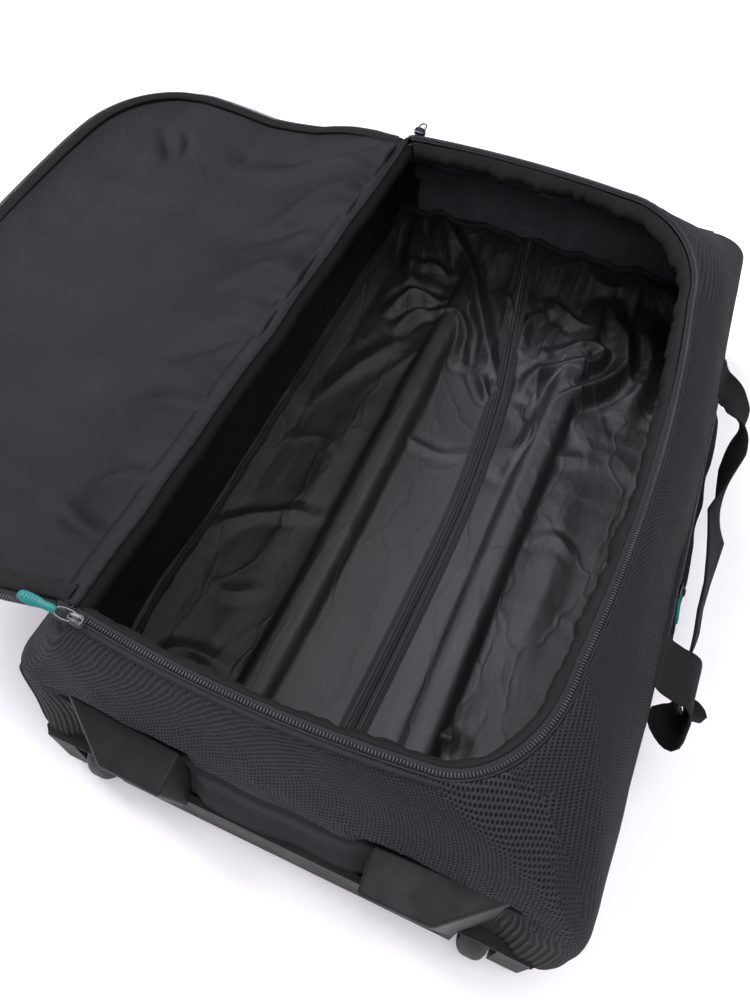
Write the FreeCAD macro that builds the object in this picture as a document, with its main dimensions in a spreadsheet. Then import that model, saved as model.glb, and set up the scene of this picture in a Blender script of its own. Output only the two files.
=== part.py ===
import FreeCAD
import Part
import os
import Sketcher

# Rolling duffel bag, lying on its back with the lid open. Millimetres. X is across the bag, with the
# lid hinge on the -X side, +Y points to the handle end and +Z up. The origin is on the ground, under
# the middle of the base.

DIMENSIONS = {
    # bag body
    "base_half_width": 222, "base_half_length": 395, "base_underside": 18, "belly_level": 165,
    "belly_half_width": 226, "belly_half_length": 383, "rim_level": 253, "rim_left": 168,
    "rim_right": 178, "rim_near": 354, "rim_far": 274, "fabric_wall": 4, "mouth_corner": 62,
    "hinge_corner": 14,
    # inside of the base
    "board_thickness": 3, "pad_top": 50.6, "lining_level": 52.5, "lining_thickness": 1.5,
    # telescopic handle
    "tube_spacing": 156, "tube_level": 52.5, "tube_wall": 1.2, "tube_gap": 0.3,
    "outer_tube_width": 24, "outer_tube_height": 22, "tube_start": -325, "housing_back": 352,
    "housing_front": 400, "housing_half_width": 104, "housing_height": 29, "housing_wall": 3,
    "grip_half_width": 92, "grip_depth": 24, "grip_height": 22, "grip_start": 373,
    "button_width": 36, "button_height": 11, "rod_radius": 2.5,
    # wheel end
    "carriage_front": 402, "carriage_back": 330, "carriage_half_width": 214, "rail_top": 77,
    "rail_thickness": 6, "flange_level": 71, "flange_tip": 222, "wheel_offset": 172,
    "wheel_radius": 36, "wheel_width": 24, "wheel_setback": 374, "hub_radius": 25,
    "bearing_radius": 11, "bearing_width": 7, "axle_radius": 4, "well_half_width": 16,
    "well_wall": 4, "well_roof": 76, "hood_inner": 77, "hood_outer": 181, "hood_lip_outer": 134,
    "hood_top": 161, "hood_lip": 141, "hood_front": 418, "hood_wall": 3.5,
    # underside
    "runner_width": 16, "runner_offset": 112, "runner_near": -318, "runner_far": 384,
    # lid, closures, pocket and carry handles
    "lid_thickness": 6, "zipper_width": 5, "zipper_thickness": 2.5, "slider_length": 13, "slider_start": 4, "near_slider_gap": 3.2,
    "pull_eye": 3, "pull_length": 30,
    "floor_zip_near_x": 19, "floor_zip_near": -306, "floor_zip_near_level": 53.2,
    "floor_zip_far_x": -26, "floor_zip_far": 374, "floor_zip_far_level": 68.6,
    "far_slider_gap": 4.2, "floor_slider_gap": 14, "pocket_slider_start": 60,
    "pocket_near": -170, "pocket_far": 140, "pocket_bottom": 62, "pocket_top": 144,
    "pocket_zip_level": 176, "webbing_width": 50, "webbing_thickness": 3, "strap_near": -205,
    "strap_far": 155, "strap_reach": 262, "strap_level": 162,
}

document = FreeCAD.newDocument("rolling_duffel_bag")
sheet = document.addObject("Spreadsheet::Sheet", "Dims")
for row, (alias, size) in enumerate(DIMENSIONS.items(), start=1):
    sheet.set(f"A{row}", alias)
    sheet.set(f"B{row}", str(size))
    sheet.setAlias(f"B{row}", alias)
document.recompute()

nodes = []
SIDES = (("left", -1), ("right", 1))


def bound(text):
    """An expression in the sheet's aliases, as FreeCAD wants it."""
    words = sorted(DIMENSIONS, key=len, reverse=True)
    result = str(text)
    for number, word in enumerate(words):
        result = result.replace(word, f"@{number}@")
    for number, word in enumerate(words):
        result = result.replace(f"@{number}@", f"Dims.{word}")
    return result


def number_of(text):
    """The value of an expression in the sheet's aliases, worked out in a spare cell."""
    sheet.set("D1", f"={text}")
    sheet.recompute()
    return float(sheet.get("D1"))


def keep(shape_object, label):
    """Makes an object one of the bag's separate pieces."""
    shape_object.Label = label
    nodes.append(shape_object)
    return shape_object


def place(shape_object, corner):
    for axis, text in zip("xyz", corner):
        shape_object.setExpression(f"Placement.Base.{axis}", bound(text))


def box(name, low, high):
    """A box between two corners, each corner three expressions."""
    block = document.addObject("Part::Box", name)
    for key, start, end in zip(("Length", "Width", "Height"), low, high):
        block.setExpression(key, bound(f"({end}) - ({start})"))
    place(block, low)
    return block


def cylinder(name, radius, length, start, axis):
    """A cylinder that runs from start along +X, +Y or +Z."""
    turns = {
        "x": FreeCAD.Rotation(FreeCAD.Vector(0, 1, 0), 90),
        "y": FreeCAD.Rotation(FreeCAD.Vector(1, 0, 0), -90),
        "z": FreeCAD.Rotation(),
    }
    rod = document.addObject("Part::Cylinder", name)
    rod.setExpression("Radius", bound(radius))
    rod.setExpression("Height", bound(length))
    rod.Placement = FreeCAD.Placement(FreeCAD.Vector(), turns[axis])
    place(rod, start)
    return rod


def fuse(name, shapes):
    joined = document.addObject("Part::MultiFuse", name)
    joined.Shapes = shapes
    return joined


def cut(name, base, tool):
    difference = document.addObject("Part::Cut", name)
    difference.Base = base
    difference.Tool = tool
    return difference


def group(name, shapes):
    """Separate solids that share one node."""
    gathered = document.addObject("Part::Compound", name)
    gathered.Links = shapes
    return gathered


def rounded(name, base, radius, along):
    """Rounds every straight edge of base that runs along one axis."""
    document.recompute()
    edges = []
    for index, edge in enumerate(base.Shape.Edges, start=1):
        ends = edge.Vertexes
        if len(ends) != 2 or edge.Curve.TypeId != "Part::GeomLine":
            continue
        run = ends[1].Point - ends[0].Point
        if abs(getattr(run, along)) > 0.99 * run.Length:
            edges.append((index, radius, radius))
    smooth = document.addObject("Part::Fillet", name)
    smooth.Base = base
    smooth.Edges = edges
    return smooth


def body(name):
    return document.addObject("PartDesign::Body", name)


def sketch(owner, name, role, offset="0"):
    flat = owner.newObject("Sketcher::SketchObject", name)
    plane = next(item for item in owner.Origin.OriginFeatures if item.Role == role)
    flat.AttachmentSupport = [(plane, "")]
    flat.MapMode = "FlatFace"
    flat.setExpression("AttachmentOffset.Base.z", bound(offset))
    return flat


def outline(flat, corners):
    """A closed polygon, each corner a pair of expressions measured from the sketch's origin."""
    spots = [(number_of(across), number_of(along)) for across, along in corners]
    count = len(spots)
    for index in range(count):
        ends = (spots[index], spots[(index + 1) % count])
        line = Part.LineSegment(*[FreeCAD.Vector(spot[0], spot[1], 0) for spot in ends])
        flat.addGeometry(line, False)
    for index in range(count):
        flat.addConstraint(Sketcher.Constraint("Coincident", index, 2, (index + 1) % count, 1))
    for index, corner in enumerate(corners):
        for kind, text, size in zip(("DistanceX", "DistanceY"), corner, spots[index]):
            place_held = flat.addConstraint(Sketcher.Constraint(kind, -1, 1, index, 1, size))
            flat.setExpression(f"Constraints[{place_held}]", bound(text))
    return flat


def pad(owner, name, role, corners, start, length):
    """A polygon padded from start, along the plane's own positive axis."""
    backward = role == "XZ_Plane"
    offset = f"-({start})" if backward else start
    flat = outline(sketch(owner, f"{name}_sketch", role, offset), corners)
    feature = owner.newObject("PartDesign::Pad", name)
    feature.Profile = flat
    feature.Reversed = backward
    feature.setExpression("Length", bound(length))
    return feature


def pocket(owner, name, role, corners, start, length):
    """A polygon cut out of the body, along the plane's own positive axis."""
    backward = role == "XZ_Plane"
    offset = f"-({start})" if backward else start
    flat = outline(sketch(owner, f"{name}_sketch", role, offset), corners)
    feature = owner.newObject("PartDesign::Pocket", name)
    feature.Profile = flat
    feature.Reversed = not backward
    feature.setExpression("Length", bound(length))
    return feature


def round_pocket(owner, name, centre, radius, start, length):
    """A round hole along +X."""
    flat = sketch(owner, f"{name}_sketch", "YZ_Plane", start)
    spot = [number_of(text) for text in centre]
    ring = Part.Circle(FreeCAD.Vector(spot[0], spot[1], 0), FreeCAD.Vector(0, 0, 1),
                       number_of(radius))
    flat.addGeometry(ring, False)
    limits = (("DistanceX", (-1, 1, 0, 3), spot[0], centre[0]),
              ("DistanceY", (-1, 1, 0, 3), spot[1], centre[1]),
              ("Radius", (0,), number_of(radius), radius))
    for kind, targets, size, text in limits:
        held = flat.addConstraint(Sketcher.Constraint(kind, *targets, size))
        flat.setExpression(f"Constraints[{held}]", bound(text))
    feature = owner.newObject("PartDesign::Pocket", name)
    feature.Profile = flat
    feature.Reversed = True
    feature.setExpression("Length", bound(length))
    return feature


def cut_rectangle(left, right, near, far, left_cut, right_cut):
    """A rectangle with its corners cut off, as eight corners."""
    return [
        (f"{left} + {left_cut}", near), (f"{right} - {right_cut}", near),
        (right, f"{near} + {right_cut}"), (right, f"{far} - {right_cut}"),
        (f"{right} - {right_cut}", far), (f"{left} + {left_cut}", far),
        (left, f"{far} - {left_cut}"), (left, f"{near} + {left_cut}"),
    ]


def rectangle(left, right, low, high):
    return [(left, low), (right, low), (right, high), (left, high)]


def loft(owner, kind, name, levels):
    """A ruled loft through level outlines, each given as (level, corners)."""
    flats = [
        outline(sketch(owner, f"{name}_{index}", "XY_Plane", level), corners)
        for index, (level, corners) in enumerate(levels)
    ]
    feature = owner.newObject(f"PartDesign::{kind}", name)
    feature.Profile = flats[0]
    feature.Sections = flats[1:]
    feature.Ruled = True
    return feature


# ---------------------------------------------------------------- sewn bag body

def mouth(inset, drop=0):
    """The outline of the mouth, drawn in by inset."""
    return cut_rectangle(
        f"-rim_left + {inset}", f"rim_right - {inset}", f"-rim_near + {inset}",
        f"rim_far - {inset}", "hinge_corner", "mouth_corner",
    )


def belly(half_width, half_length, inset, corner):
    width = f"({half_width} - {inset})"
    length = f"({half_length} - {inset})"
    return cut_rectangle(f"-{width}", width, f"-{length}", length, corner, corner)


def cut_wheel_notches(owner, margin, sideways):
    """Room for the wheel wells, which reach up into the bag, and for the axle ends beside them."""
    reach = f"well_half_width + well_wall + {sideways}"
    for side, sign in SIDES:
        centre = f"({sign}) * wheel_offset"
        pocket(owner, f"{owner.Name}_{side}_notch", "XY_Plane",
               rectangle(f"{centre} - ({reach})", f"{centre} + {reach}", "-base_half_length - 20",
                         f"-carriage_back + {margin}"),
               "0", f"well_roof + 3 + {margin}")


def make_bag_shell():
    shell = body("BagShell")
    sole = "base_underside"
    loft(shell, "AdditiveLoft", "shell_outside", [
        (sole, belly("base_half_width", "base_half_length", 16, 26)),
        ("base_underside + 27", belly("base_half_width", "base_half_length", 0, 30)),
        ("belly_level", belly("belly_half_width", "belly_half_length", 0, 42)),
        ("rim_level", mouth("0")),
    ])
    loft(shell, "SubtractiveLoft", "shell_inside", [
        (f"{sole} + fabric_wall", belly("base_half_width", "base_half_length", 18, 26)),
        ("base_underside + 27", belly("base_half_width", "base_half_length", "fabric_wall", 28)),
        ("belly_level", belly("belly_half_width", "belly_half_length", "fabric_wall", 40)),
        ("rim_level + 1", mouth("fabric_wall")),
    ])
    doorway = rectangle(
        "-housing_half_width - 0.5", "housing_half_width + 0.5",
        "tube_level - housing_height / 2 - 0.5", "tube_level + housing_height / 2 + 0.5",
    )
    pocket(shell, "handle_doorway", "XZ_Plane", doorway, "base_half_length - 30", "60")
    cut_wheel_notches(shell, "0.5", "6.5")
    keep(shell, "bag_shell")


def make_base():
    floor = "base_underside + fabric_wall + 0.3"
    board = body("BaseBoard")
    pad(board, "board_plate", "XY_Plane", belly("base_half_width", "base_half_length", 22, 26),
        floor, "board_thickness")
    cut_wheel_notches(board, "0.5", "0.5")
    keep(board, "base_board")
    top = f"{floor} + board_thickness"
    inner = "tube_spacing / 2 - outer_tube_width / 2 - 12"
    outer = "tube_spacing / 2 + outer_tube_width / 2 + 12"
    strips = (("left", "-196", f"-({outer})"), ("centre", f"-({inner})", inner),
              ("right", outer, "196"))
    for name, left, right in strips:
        strip = box(f"Pad_{name}", (left, "tube_start + 8", top), (right, "housing_back - 8", "pad_top"))
        keep(rounded(f"PadRound_{name}", strip, 6, "y"), f"floor_pad_{name}")


def make_floor_lining():
    under = "lining_level - lining_thickness"
    half_tube = "(outer_tube_width / 2 + 1)"
    crest = "tube_level + outer_tube_height / 2 + 0.3"
    lining = body("FloorLining")
    left = "-tube_spacing / 2"
    right = "tube_spacing / 2"
    profile = [("-200", under)]
    for centre in (left, right):
        profile += [
            (f"{centre} - {half_tube} - 3", under), (f"{centre} - {half_tube}", crest),
            (f"{centre} + {half_tube}", crest), (f"{centre} + {half_tube} + 3", under),
        ]
    profile.append(("200", under))
    for across, level in reversed(profile):
        profile.append((across, f"({level}) + lining_thickness"))
    pad(lining, "lining_sheet", "XZ_Plane", profile, "tube_start + 7",
        "housing_back - 8 - (tube_start + 7)")
    keep(lining, "floor_lining")


# ---------------------------------------------------------------- telescopic handle

def tube(name, label, centre, width, height, start, end):
    """A thin-walled rectangular tube along Y."""
    def block(kind, inset, reach):
        return box(
            f"{name}_{kind}",
            (f"{centre} - ({width}) / 2 + {inset}", f"{start} - {reach}",
             f"tube_level - ({height}) / 2 + {inset}"),
            (f"{centre} + ({width}) / 2 - {inset}", f"{end} + {reach}",
             f"tube_level + ({height}) / 2 - {inset}"),
        )
    skin = rounded(f"{name}_skin", block("block", 0, 0), 3, "y")
    bore = rounded(f"{name}_hollow", block("bore", "tube_wall", 1), 1.8, "y")
    return keep(cut(name, skin, bore), label)


STEP = "2 * (tube_wall + tube_gap)"


def make_tubes():
    for side, sign in SIDES:
        centre = f"({sign}) * tube_spacing / 2"
        tube(f"OuterTube_{side}", f"{side}_outer_tube", centre, "outer_tube_width",
             "outer_tube_height", "tube_start", "housing_back")
        tube(f"MidTube_{side}", f"{side}_mid_tube", centre, f"outer_tube_width - {STEP}",
             f"outer_tube_height - {STEP}", "tube_start + 6", "housing_back + 12")
        tube(f"InnerTube_{side}", f"{side}_inner_tube", centre,
             f"outer_tube_width - 2 * {STEP}", f"outer_tube_height - 2 * {STEP}",
             "tube_start + 12", "grip_start")
        plug = box(
            f"GlidePlug_{side}",
            (f"{centre} - outer_tube_width / 2 + {STEP} + 0.4", "tube_start + 7.5",
             f"tube_level - outer_tube_height / 2 + {STEP} + 0.4"),
            (f"{centre} + outer_tube_width / 2 - {STEP} - 0.4", "tube_start + 12",
             f"tube_level + outer_tube_height / 2 - {STEP} - 0.4"),
        )
        keep(plug, f"{side}_glide_plug")


def make_handle_supports():
    top = "base_underside + fabric_wall + 0.3 + board_thickness"
    bottom_of_tube = "tube_level - outer_tube_height / 2"
    saddles = []
    for side, sign in SIDES:
        centre = f"({sign}) * tube_spacing / 2"
        for number, along in enumerate(("-230", "-20", "190")):
            low = (f"{centre} - outer_tube_width / 2 - 5", along, top)
            high = (f"{centre} + outer_tube_width / 2 + 5", f"{along} + 22",
                    f"{bottom_of_tube} + 9")
            block = box(f"Saddle_{side}_{number}", low, high)
            slot = box(
                f"SaddleSlot_{side}_{number}",
                (f"{centre} - outer_tube_width / 2 - 0.05", f"{along} - 1", bottom_of_tube),
                (f"{centre} + outer_tube_width / 2 + 0.05", f"{along} + 23", "tube_level + 20"),
            )
            saddles.append(cut(f"SaddleCut_{side}_{number}", block, slot))
    keep(group("Saddles", saddles), "tube_saddles")

    socket = box("SocketBlock", ("-tube_spacing / 2 - 18", "tube_start - 14", top),
                 ("tube_spacing / 2 + 18", "tube_start + 5", "tube_level + outer_tube_height / 2"))
    bays = [
        box(f"SocketBay_{side}",
            (f"({sign}) * tube_spacing / 2 - outer_tube_width / 2 - 0.05", "tube_start",
             f"{bottom_of_tube} - 0.05"),
            (f"({sign}) * tube_spacing / 2 + outer_tube_width / 2 + 0.05", "tube_start + 6",
             "tube_level + 20"))
        for side, sign in SIDES
    ]
    keep(cut("SocketCut", socket, fuse("SocketBays", bays)), "tube_socket")

    low = "tube_level - housing_height / 2"
    high = "tube_level + housing_height / 2"
    housing = rounded("HousingRound", box(
        "HousingBlock", ("-housing_half_width", "housing_back", low),
        ("housing_half_width", "housing_front", high)), 5, "y")
    hollows = [box(
        "HousingHollow", ("-housing_half_width + housing_wall", "housing_back + 9",
                          f"{low} + housing_wall"),
        ("housing_half_width - housing_wall", "housing_front + 5", f"{high} - housing_wall"))]
    for side, sign in SIDES:
        centre = f"({sign}) * tube_spacing / 2"
        hollows.append(box(
            f"HousingTubeHole_{side}",
            (f"{centre} - outer_tube_width / 2 + tube_wall", "housing_back - 5",
             "tube_level - outer_tube_height / 2 + tube_wall"),
            (f"{centre} + outer_tube_width / 2 - tube_wall", "housing_back + 12",
             "tube_level + outer_tube_height / 2 - tube_wall")))
    hollows.append(box(
        "FingerNotch", ("-46", "grip_start + 1", f"{low} - 5"),
        ("46", "housing_front + 5", f"{high} + 5")))
    keep(cut("Housing", housing, fuse("HousingHollows", hollows)), "handle_housing")


def make_mid_bridge():
    half_height = "outer_tube_height / 2"
    bridge = rounded("BridgeRound", box(
        "BridgeBlock", ("-grip_half_width", "housing_back + 10", f"tube_level - {half_height}"),
        ("grip_half_width", "housing_back + 19.5", f"tube_level + {half_height}")), 4, "y")
    holes = []
    for side, sign in SIDES:
        centre = f"({sign}) * tube_spacing / 2"
        holes.append(box(
            f"BridgeTubeSeat_{side}",
            (f"{centre} - outer_tube_width / 2 + {STEP} / 2", "housing_back + 5",
             f"tube_level - {half_height} + {STEP} / 2"),
            (f"{centre} + outer_tube_width / 2 - {STEP} / 2", "housing_back + 12",
             f"tube_level + {half_height} - {STEP} / 2")))
        holes.append(box(
            f"BridgeHole_{side}",
            (f"{centre} - outer_tube_width / 2 + {STEP} - 0.3", "housing_back + 11",
             f"tube_level - {half_height} + {STEP} - 0.3"),
            (f"{centre} + outer_tube_width / 2 - {STEP} + 0.3", "housing_back + 25",
             f"tube_level + {half_height} - {STEP} + 0.3")))
    keep(cut("Bridge", bridge, fuse("BridgeHoles", holes)), "mid_tube_bridge")


def make_grip():
    """The grip's two shells meet in the level plane through the tubes."""
    end = "grip_start + grip_depth"
    hollow = box("GripHollow", ("-grip_half_width + 3", "grip_start + 3", "tube_level - 8"),
                 ("grip_half_width - 3", f"{end} - 3", "tube_level + 8"))
    window = box("GripWindow", ("-button_width / 2 - 0.4", f"{end} - 6",
                                "tube_level - button_height / 2 - 0.4"),
                 ("button_width / 2 + 0.4", f"{end} + 2",
                  "tube_level + button_height / 2 + 0.4"))
    rod_holes = [
        cylinder(f"GripRodHole_{side}", "rod_radius + 0.5", "8",
                 (f"({sign}) * tube_spacing / 2", "grip_start - 2", "tube_level"), "y")
        for side, sign in SIDES
    ]
    space = fuse("GripSpace", [hollow, window] + rod_holes)
    for label, low, high in (("grip_lower_shell", "tube_level - grip_height / 2", "tube_level"),
                             ("grip_upper_shell", "tube_level", "tube_level + grip_height / 2")):
        block = box(f"Block_{label}", ("-grip_half_width", "grip_start", low),
                    ("grip_half_width", end, high))
        keep(cut(f"Cut_{label}", rounded(f"Round_{label}", block, 5, "z"), space), label)
    button = rounded("ButtonRound", box(
        "ButtonBlock", ("-button_width / 2", f"{end} - 7.5", "tube_level - button_height / 2"),
        ("button_width / 2", f"{end} + 0.5", "tube_level + button_height / 2")), 2, "y")
    keep(button, "release_button")
    bar = box("RodBar", ("-tube_spacing / 2 - 4", f"{end} - 12", "tube_level - 3.5"),
              ("tube_spacing / 2 + 4", f"{end} - 7.5", "tube_level + 3.5"))
    rods = [
        cylinder(f"PushRod_{side}", "rod_radius", f"({end} - 12) - (tube_start + 22)",
                 (f"({sign}) * tube_spacing / 2", "tube_start + 22", "tube_level"), "y")
        for side, sign in SIDES
    ]
    keep(fuse("PushRods", [bar] + rods), "push_rods")


# ---------------------------------------------------------------- wheel end

def make_carriage():
    carriage = body("WheelCarriage")
    half = "carriage_half_width"
    front = "-carriage_front"
    bottom = "base_underside - 6"
    pad(carriage, "rail", "XY_Plane",
        rectangle(f"-{half}", half, front, f"{front} + rail_thickness"), bottom,
        f"rail_top - ({bottom})")
    pad(carriage, "sole_plate", "XY_Plane",
        rectangle(f"-{half}", half, front, "-carriage_back"), bottom, "5.7")
    for side, sign in SIDES:
        for wall, distance in (("inner", "-well_half_width - well_wall"),
                               ("outer", "well_half_width")):
            near_edge = f"({sign}) * wheel_offset + {distance}"
            pad(carriage, f"{side}_{wall}_well_wall", "XY_Plane",
                rectangle(near_edge, f"{near_edge} + well_wall", front, "-carriage_back"),
                bottom, f"well_roof - ({bottom})")
        pad(carriage, f"{side}_well_roof", "XY_Plane",
            rectangle(f"({sign}) * wheel_offset - well_half_width - well_wall",
                      f"({sign}) * wheel_offset + well_half_width + well_wall",
                      front, "-carriage_back"), "well_roof", "3")
        pad(carriage, f"{side}_well_back", "XY_Plane",
            rectangle(f"({sign}) * wheel_offset - well_half_width",
                      f"({sign}) * wheel_offset + well_half_width",
                      "-carriage_back - 3", "-carriage_back"), bottom,
            f"well_roof - ({bottom})")
        tip = f"({sign}) * flange_tip"
        root = f"({sign}) * (wheel_offset + well_half_width)"
        corners = [(root, front), (f"{tip} - ({sign}) * 7", front), (tip, f"{front} + 7"),
                   (tip, f"{front} + 34"), (f"{root} + ({sign}) * 6", f"{front} + rail_thickness"),
                   (root, f"{front} + rail_thickness")]
        pad(carriage, f"{side}_flange", "XY_Plane", corners, "flange_level - 5", "5")
        pocket(carriage, f"{side}_wheel_slot", "XY_Plane",
               rectangle(f"({sign}) * wheel_offset - well_half_width",
                         f"({sign}) * wheel_offset + well_half_width",
                         f"{front} - 5", "-carriage_back - 3"), f"{bottom} - 1",
               f"well_roof - ({bottom}) + 1")
        hole = f"({sign}) * 203"
        round_pocket(carriage, f"{side}_axle_hole", ("-wheel_setback", "wheel_radius"),
                     "axle_radius", f"({sign}) * wheel_offset - 30", "60")
        pocket(carriage, f"{side}_flange_hole", "XY_Plane",
               cut_rectangle(f"{hole} - 5", f"{hole} + 5", f"{front} + 7.5",
                             f"{front} + 12.5", 1.6, 1.6), "flange_level - 8", "12")
    keep(carriage, "wheel_carriage")


def make_hoods():
    """Wedge-shaped kick guards: a sloping top, a rounded lip and an upright front."""
    for side, sign in SIDES:
        hood = body(f"Hood_{side}")
        left = "hood_inner" if sign > 0 else "-hood_outer"
        profile = [
            ("-hood_front", "66"), ("-carriage_front - 0.4", "66"),
            ("-carriage_front - 0.4", "rail_top + 6"), ("-387.5", "hood_top"),
            ("-hood_front + 5", "hood_lip + 2"), ("-hood_front", "hood_lip - 3"),
        ]
        pad(hood, f"{side}_wedge", "YZ_Plane", profile, left, "hood_outer - hood_inner")
        chamfer = [
            (f"({sign}) * hood_outer + ({sign}) * 5", "-380"),
            (f"({sign}) * hood_outer + ({sign}) * 5", "-hood_front - 8"),
            (f"({sign}) * (hood_lip_outer - 10)", "-hood_front - 8"),
            (f"({sign}) * hood_lip_outer", "-hood_front"),
            (f"({sign}) * hood_outer", "-387.5 + 2"),
        ]
        pocket(hood, f"{side}_corner_cut", "XY_Plane", chamfer, "60", "120")
        hollow = [
            ("-hood_front + hood_wall", "60"), ("-carriage_front - 0.4 - hood_wall", "60"),
            ("-carriage_front - 0.4 - hood_wall", "rail_top + 20"),
            ("-hood_front + hood_wall + 9", "hood_lip - 8"),
            ("-hood_front + hood_wall", "hood_lip - 10"),
        ]
        inner = "hood_inner + hood_wall" if sign > 0 else "-hood_lip_outer + hood_wall"
        pocket(hood, f"{side}_hollow", "YZ_Plane", hollow, inner,
               "hood_lip_outer - hood_inner - 2 * hood_wall")
        keep(hood, f"{side}_hood")


def make_wheels():
    axle_level = "wheel_radius"
    for side, sign in SIDES:
        centre = f"({sign}) * wheel_offset"

        def spot(offset):
            return (f"{centre} + ({offset})", "-wheel_setback", axle_level)

        half = "wheel_width / 2"
        tread = rounded_wheel(f"Tread_{side}", spot(f"-{half}"))
        seat = cylinder(f"TyreSeat_{side}", "hub_radius", "wheel_width + 4",
                        spot(f"-{half} - 2"), "x")
        keep(cut(f"Tyre_{side}", tread, seat), f"{side}_tyre")

        hub = cylinder(f"HubBlank_{side}", "hub_radius", "wheel_width - 2",
                       spot(f"-{half} + 1"), "x")
        bore = cylinder(f"HubBore_{side}", "axle_radius + 2", "wheel_width + 2",
                        spot(f"-{half} - 1"), "x")
        seats = [
            cylinder(f"BearingSeat_{side}_{number}", "bearing_radius", "bearing_width + 3",
                     spot(start), "x")
            for number, start in enumerate((f"-{half} - 1", f"{half} - bearing_width - 2"))
        ]
        keep(cut(f"Hub_{side}", hub, fuse(f"HubSpace_{side}", [bore] + seats)), f"{side}_hub")

        rings = []
        for number, start in enumerate((f"-{half} + 2", f"{half} - bearing_width - 2")):
            ring = cylinder(f"BearingBlank_{side}_{number}", "bearing_radius",
                            "bearing_width", spot(start), "x")
            hole = cylinder(f"BearingBore_{side}_{number}", "axle_radius + 0.05",
                            "bearing_width + 2", spot(f"{start} - 1"), "x")
            rings.append(cut(f"Bearing_{side}_{number}", ring, hole))
        keep(group(f"Bearings_{side}", rings), f"{side}_bearings")

        reach = "well_half_width + well_wall"
        shank = cylinder(f"AxleShank_{side}", "axle_radius", f"2 * ({reach}) + 6",
                         spot(f"-({reach})"), "x")
        head = cylinder(f"AxleHead_{side}", "axle_radius + 3", "3", spot(f"-({reach}) - 3"), "x")
        keep(fuse(f"Axle_{side}", [shank, head]), f"{side}_axle")
        nut = cylinder(f"NutBlank_{side}", "axle_radius + 3", "4", spot(reach), "x")
        thread = cylinder(f"NutBore_{side}", "axle_radius", "6", spot(f"({reach}) - 1"), "x")
        keep(cut(f"Nut_{side}", nut, thread), f"{side}_axle_nut")


def rounded_wheel(name, start):
    """A skate wheel's tread: a disc with its shoulders rounded over."""
    disc = cylinder(name, "wheel_radius", "wheel_width", start, "x")
    document.recompute()
    rims = [
        (index, 9, 9) for index, edge in enumerate(disc.Shape.Edges, start=1)
        if edge.Curve.TypeId == "Part::GeomCircle"
    ]
    smooth = document.addObject("Part::Fillet", f"{name}_round")
    smooth.Base = disc
    smooth.Edges = rims
    return smooth


# ---------------------------------------------------------------- underside

def make_runners():
    top = "base_underside - 0.3"
    rivets = []
    for label, offset in (("left", "-runner_offset"), ("centre", "0"), ("right", "runner_offset")):
        bar = box(f"Runner_{label}",
                  (f"{offset} - runner_width / 2", "runner_near", "0"),
                  (f"{offset} + runner_width / 2", "runner_far", top))
        shaped = rounded(f"RunnerEnds_{label}", bar, 7, "x")
        holes = []
        for number, along in enumerate(("-260", "-90", "80", "250")):
            spot = (offset, along, "5")
            holes.append(cylinder(f"RivetHole_{label}_{number}", "3", "30", spot, "z"))
            holes.append(cylinder(f"RivetWell_{label}_{number}", "5.5", "6",
                                  (offset, along, "-1"), "z"))
            shank = cylinder(f"RivetShank_{label}_{number}", "3", f"{top} - 5",
                             (offset, along, "5"), "z")
            head = cylinder(f"RivetHead_{label}_{number}", "5", "2.4",
                            (offset, along, "2.6"), "z")
            rivets.append(fuse(f"Rivet_{label}_{number}", [shank, head]))
        keep(cut(f"RunnerCut_{label}", shaped, fuse(f"RunnerHoles_{label}", holes)),
             f"{label}_runner")
    keep(group("Rivets", rivets), "runner_rivets")


# ---------------------------------------------------------------- lid and zippers

def lid_outline(inset):
    """The lid laid open: the mouth mirrored about the hinge line."""
    near_edge = f"-rim_near + 5 + {inset}"
    far_edge = f"rim_far - 5 - {inset}"
    outer = f"-2 * rim_left - rim_right + 4 + {inset}"
    return cut_rectangle(outer, "-rim_left - 8", near_edge, far_edge, "mouth_corner", 6)


def make_lid():
    panel = body("LidPanel")
    pad(panel, "lid_slab", "XY_Plane", lid_outline("zipper_width"),
        "rim_level + 1.5 - lid_thickness", "lid_thickness")
    keep(panel, "lid_panel")
    teeth = body("LidZipper")
    level = "rim_level - 4"
    pad(teeth, "lid_teeth_band", "XY_Plane", lid_outline("0"), level, "zipper_thickness")
    pocket(teeth, "lid_teeth_inside", "XY_Plane", lid_outline("(zipper_width - 0.4)"),
           f"{level} - 1", "zipper_thickness + 2")
    pocket(teeth, "lid_teeth_hinge_gap", "XY_Plane",
           rectangle("-rim_left - 16", "-rim_left", "-rim_near - 9", "rim_far + 9"),
           f"{level} - 1", "zipper_thickness + 2")
    keep(teeth, "lid_zipper")


def make_body_zipper():
    teeth = body("BodyZipper")
    level = "rim_level + 0.3"
    pad(teeth, "teeth_band", "XY_Plane", mouth("-1"), level, "zipper_thickness")
    pocket(teeth, "teeth_inside", "XY_Plane", mouth("zipper_width - 1"), f"{level} - 1",
           "zipper_thickness + 2")
    pocket(teeth, "teeth_hinge_gap", "XY_Plane",
           rectangle("-rim_left - 9", "-rim_left + 14", "-rim_near - 9", "rim_far + 9"),
           f"{level} - 1", "zipper_thickness + 2")
    keep(teeth, "body_zipper")


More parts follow.
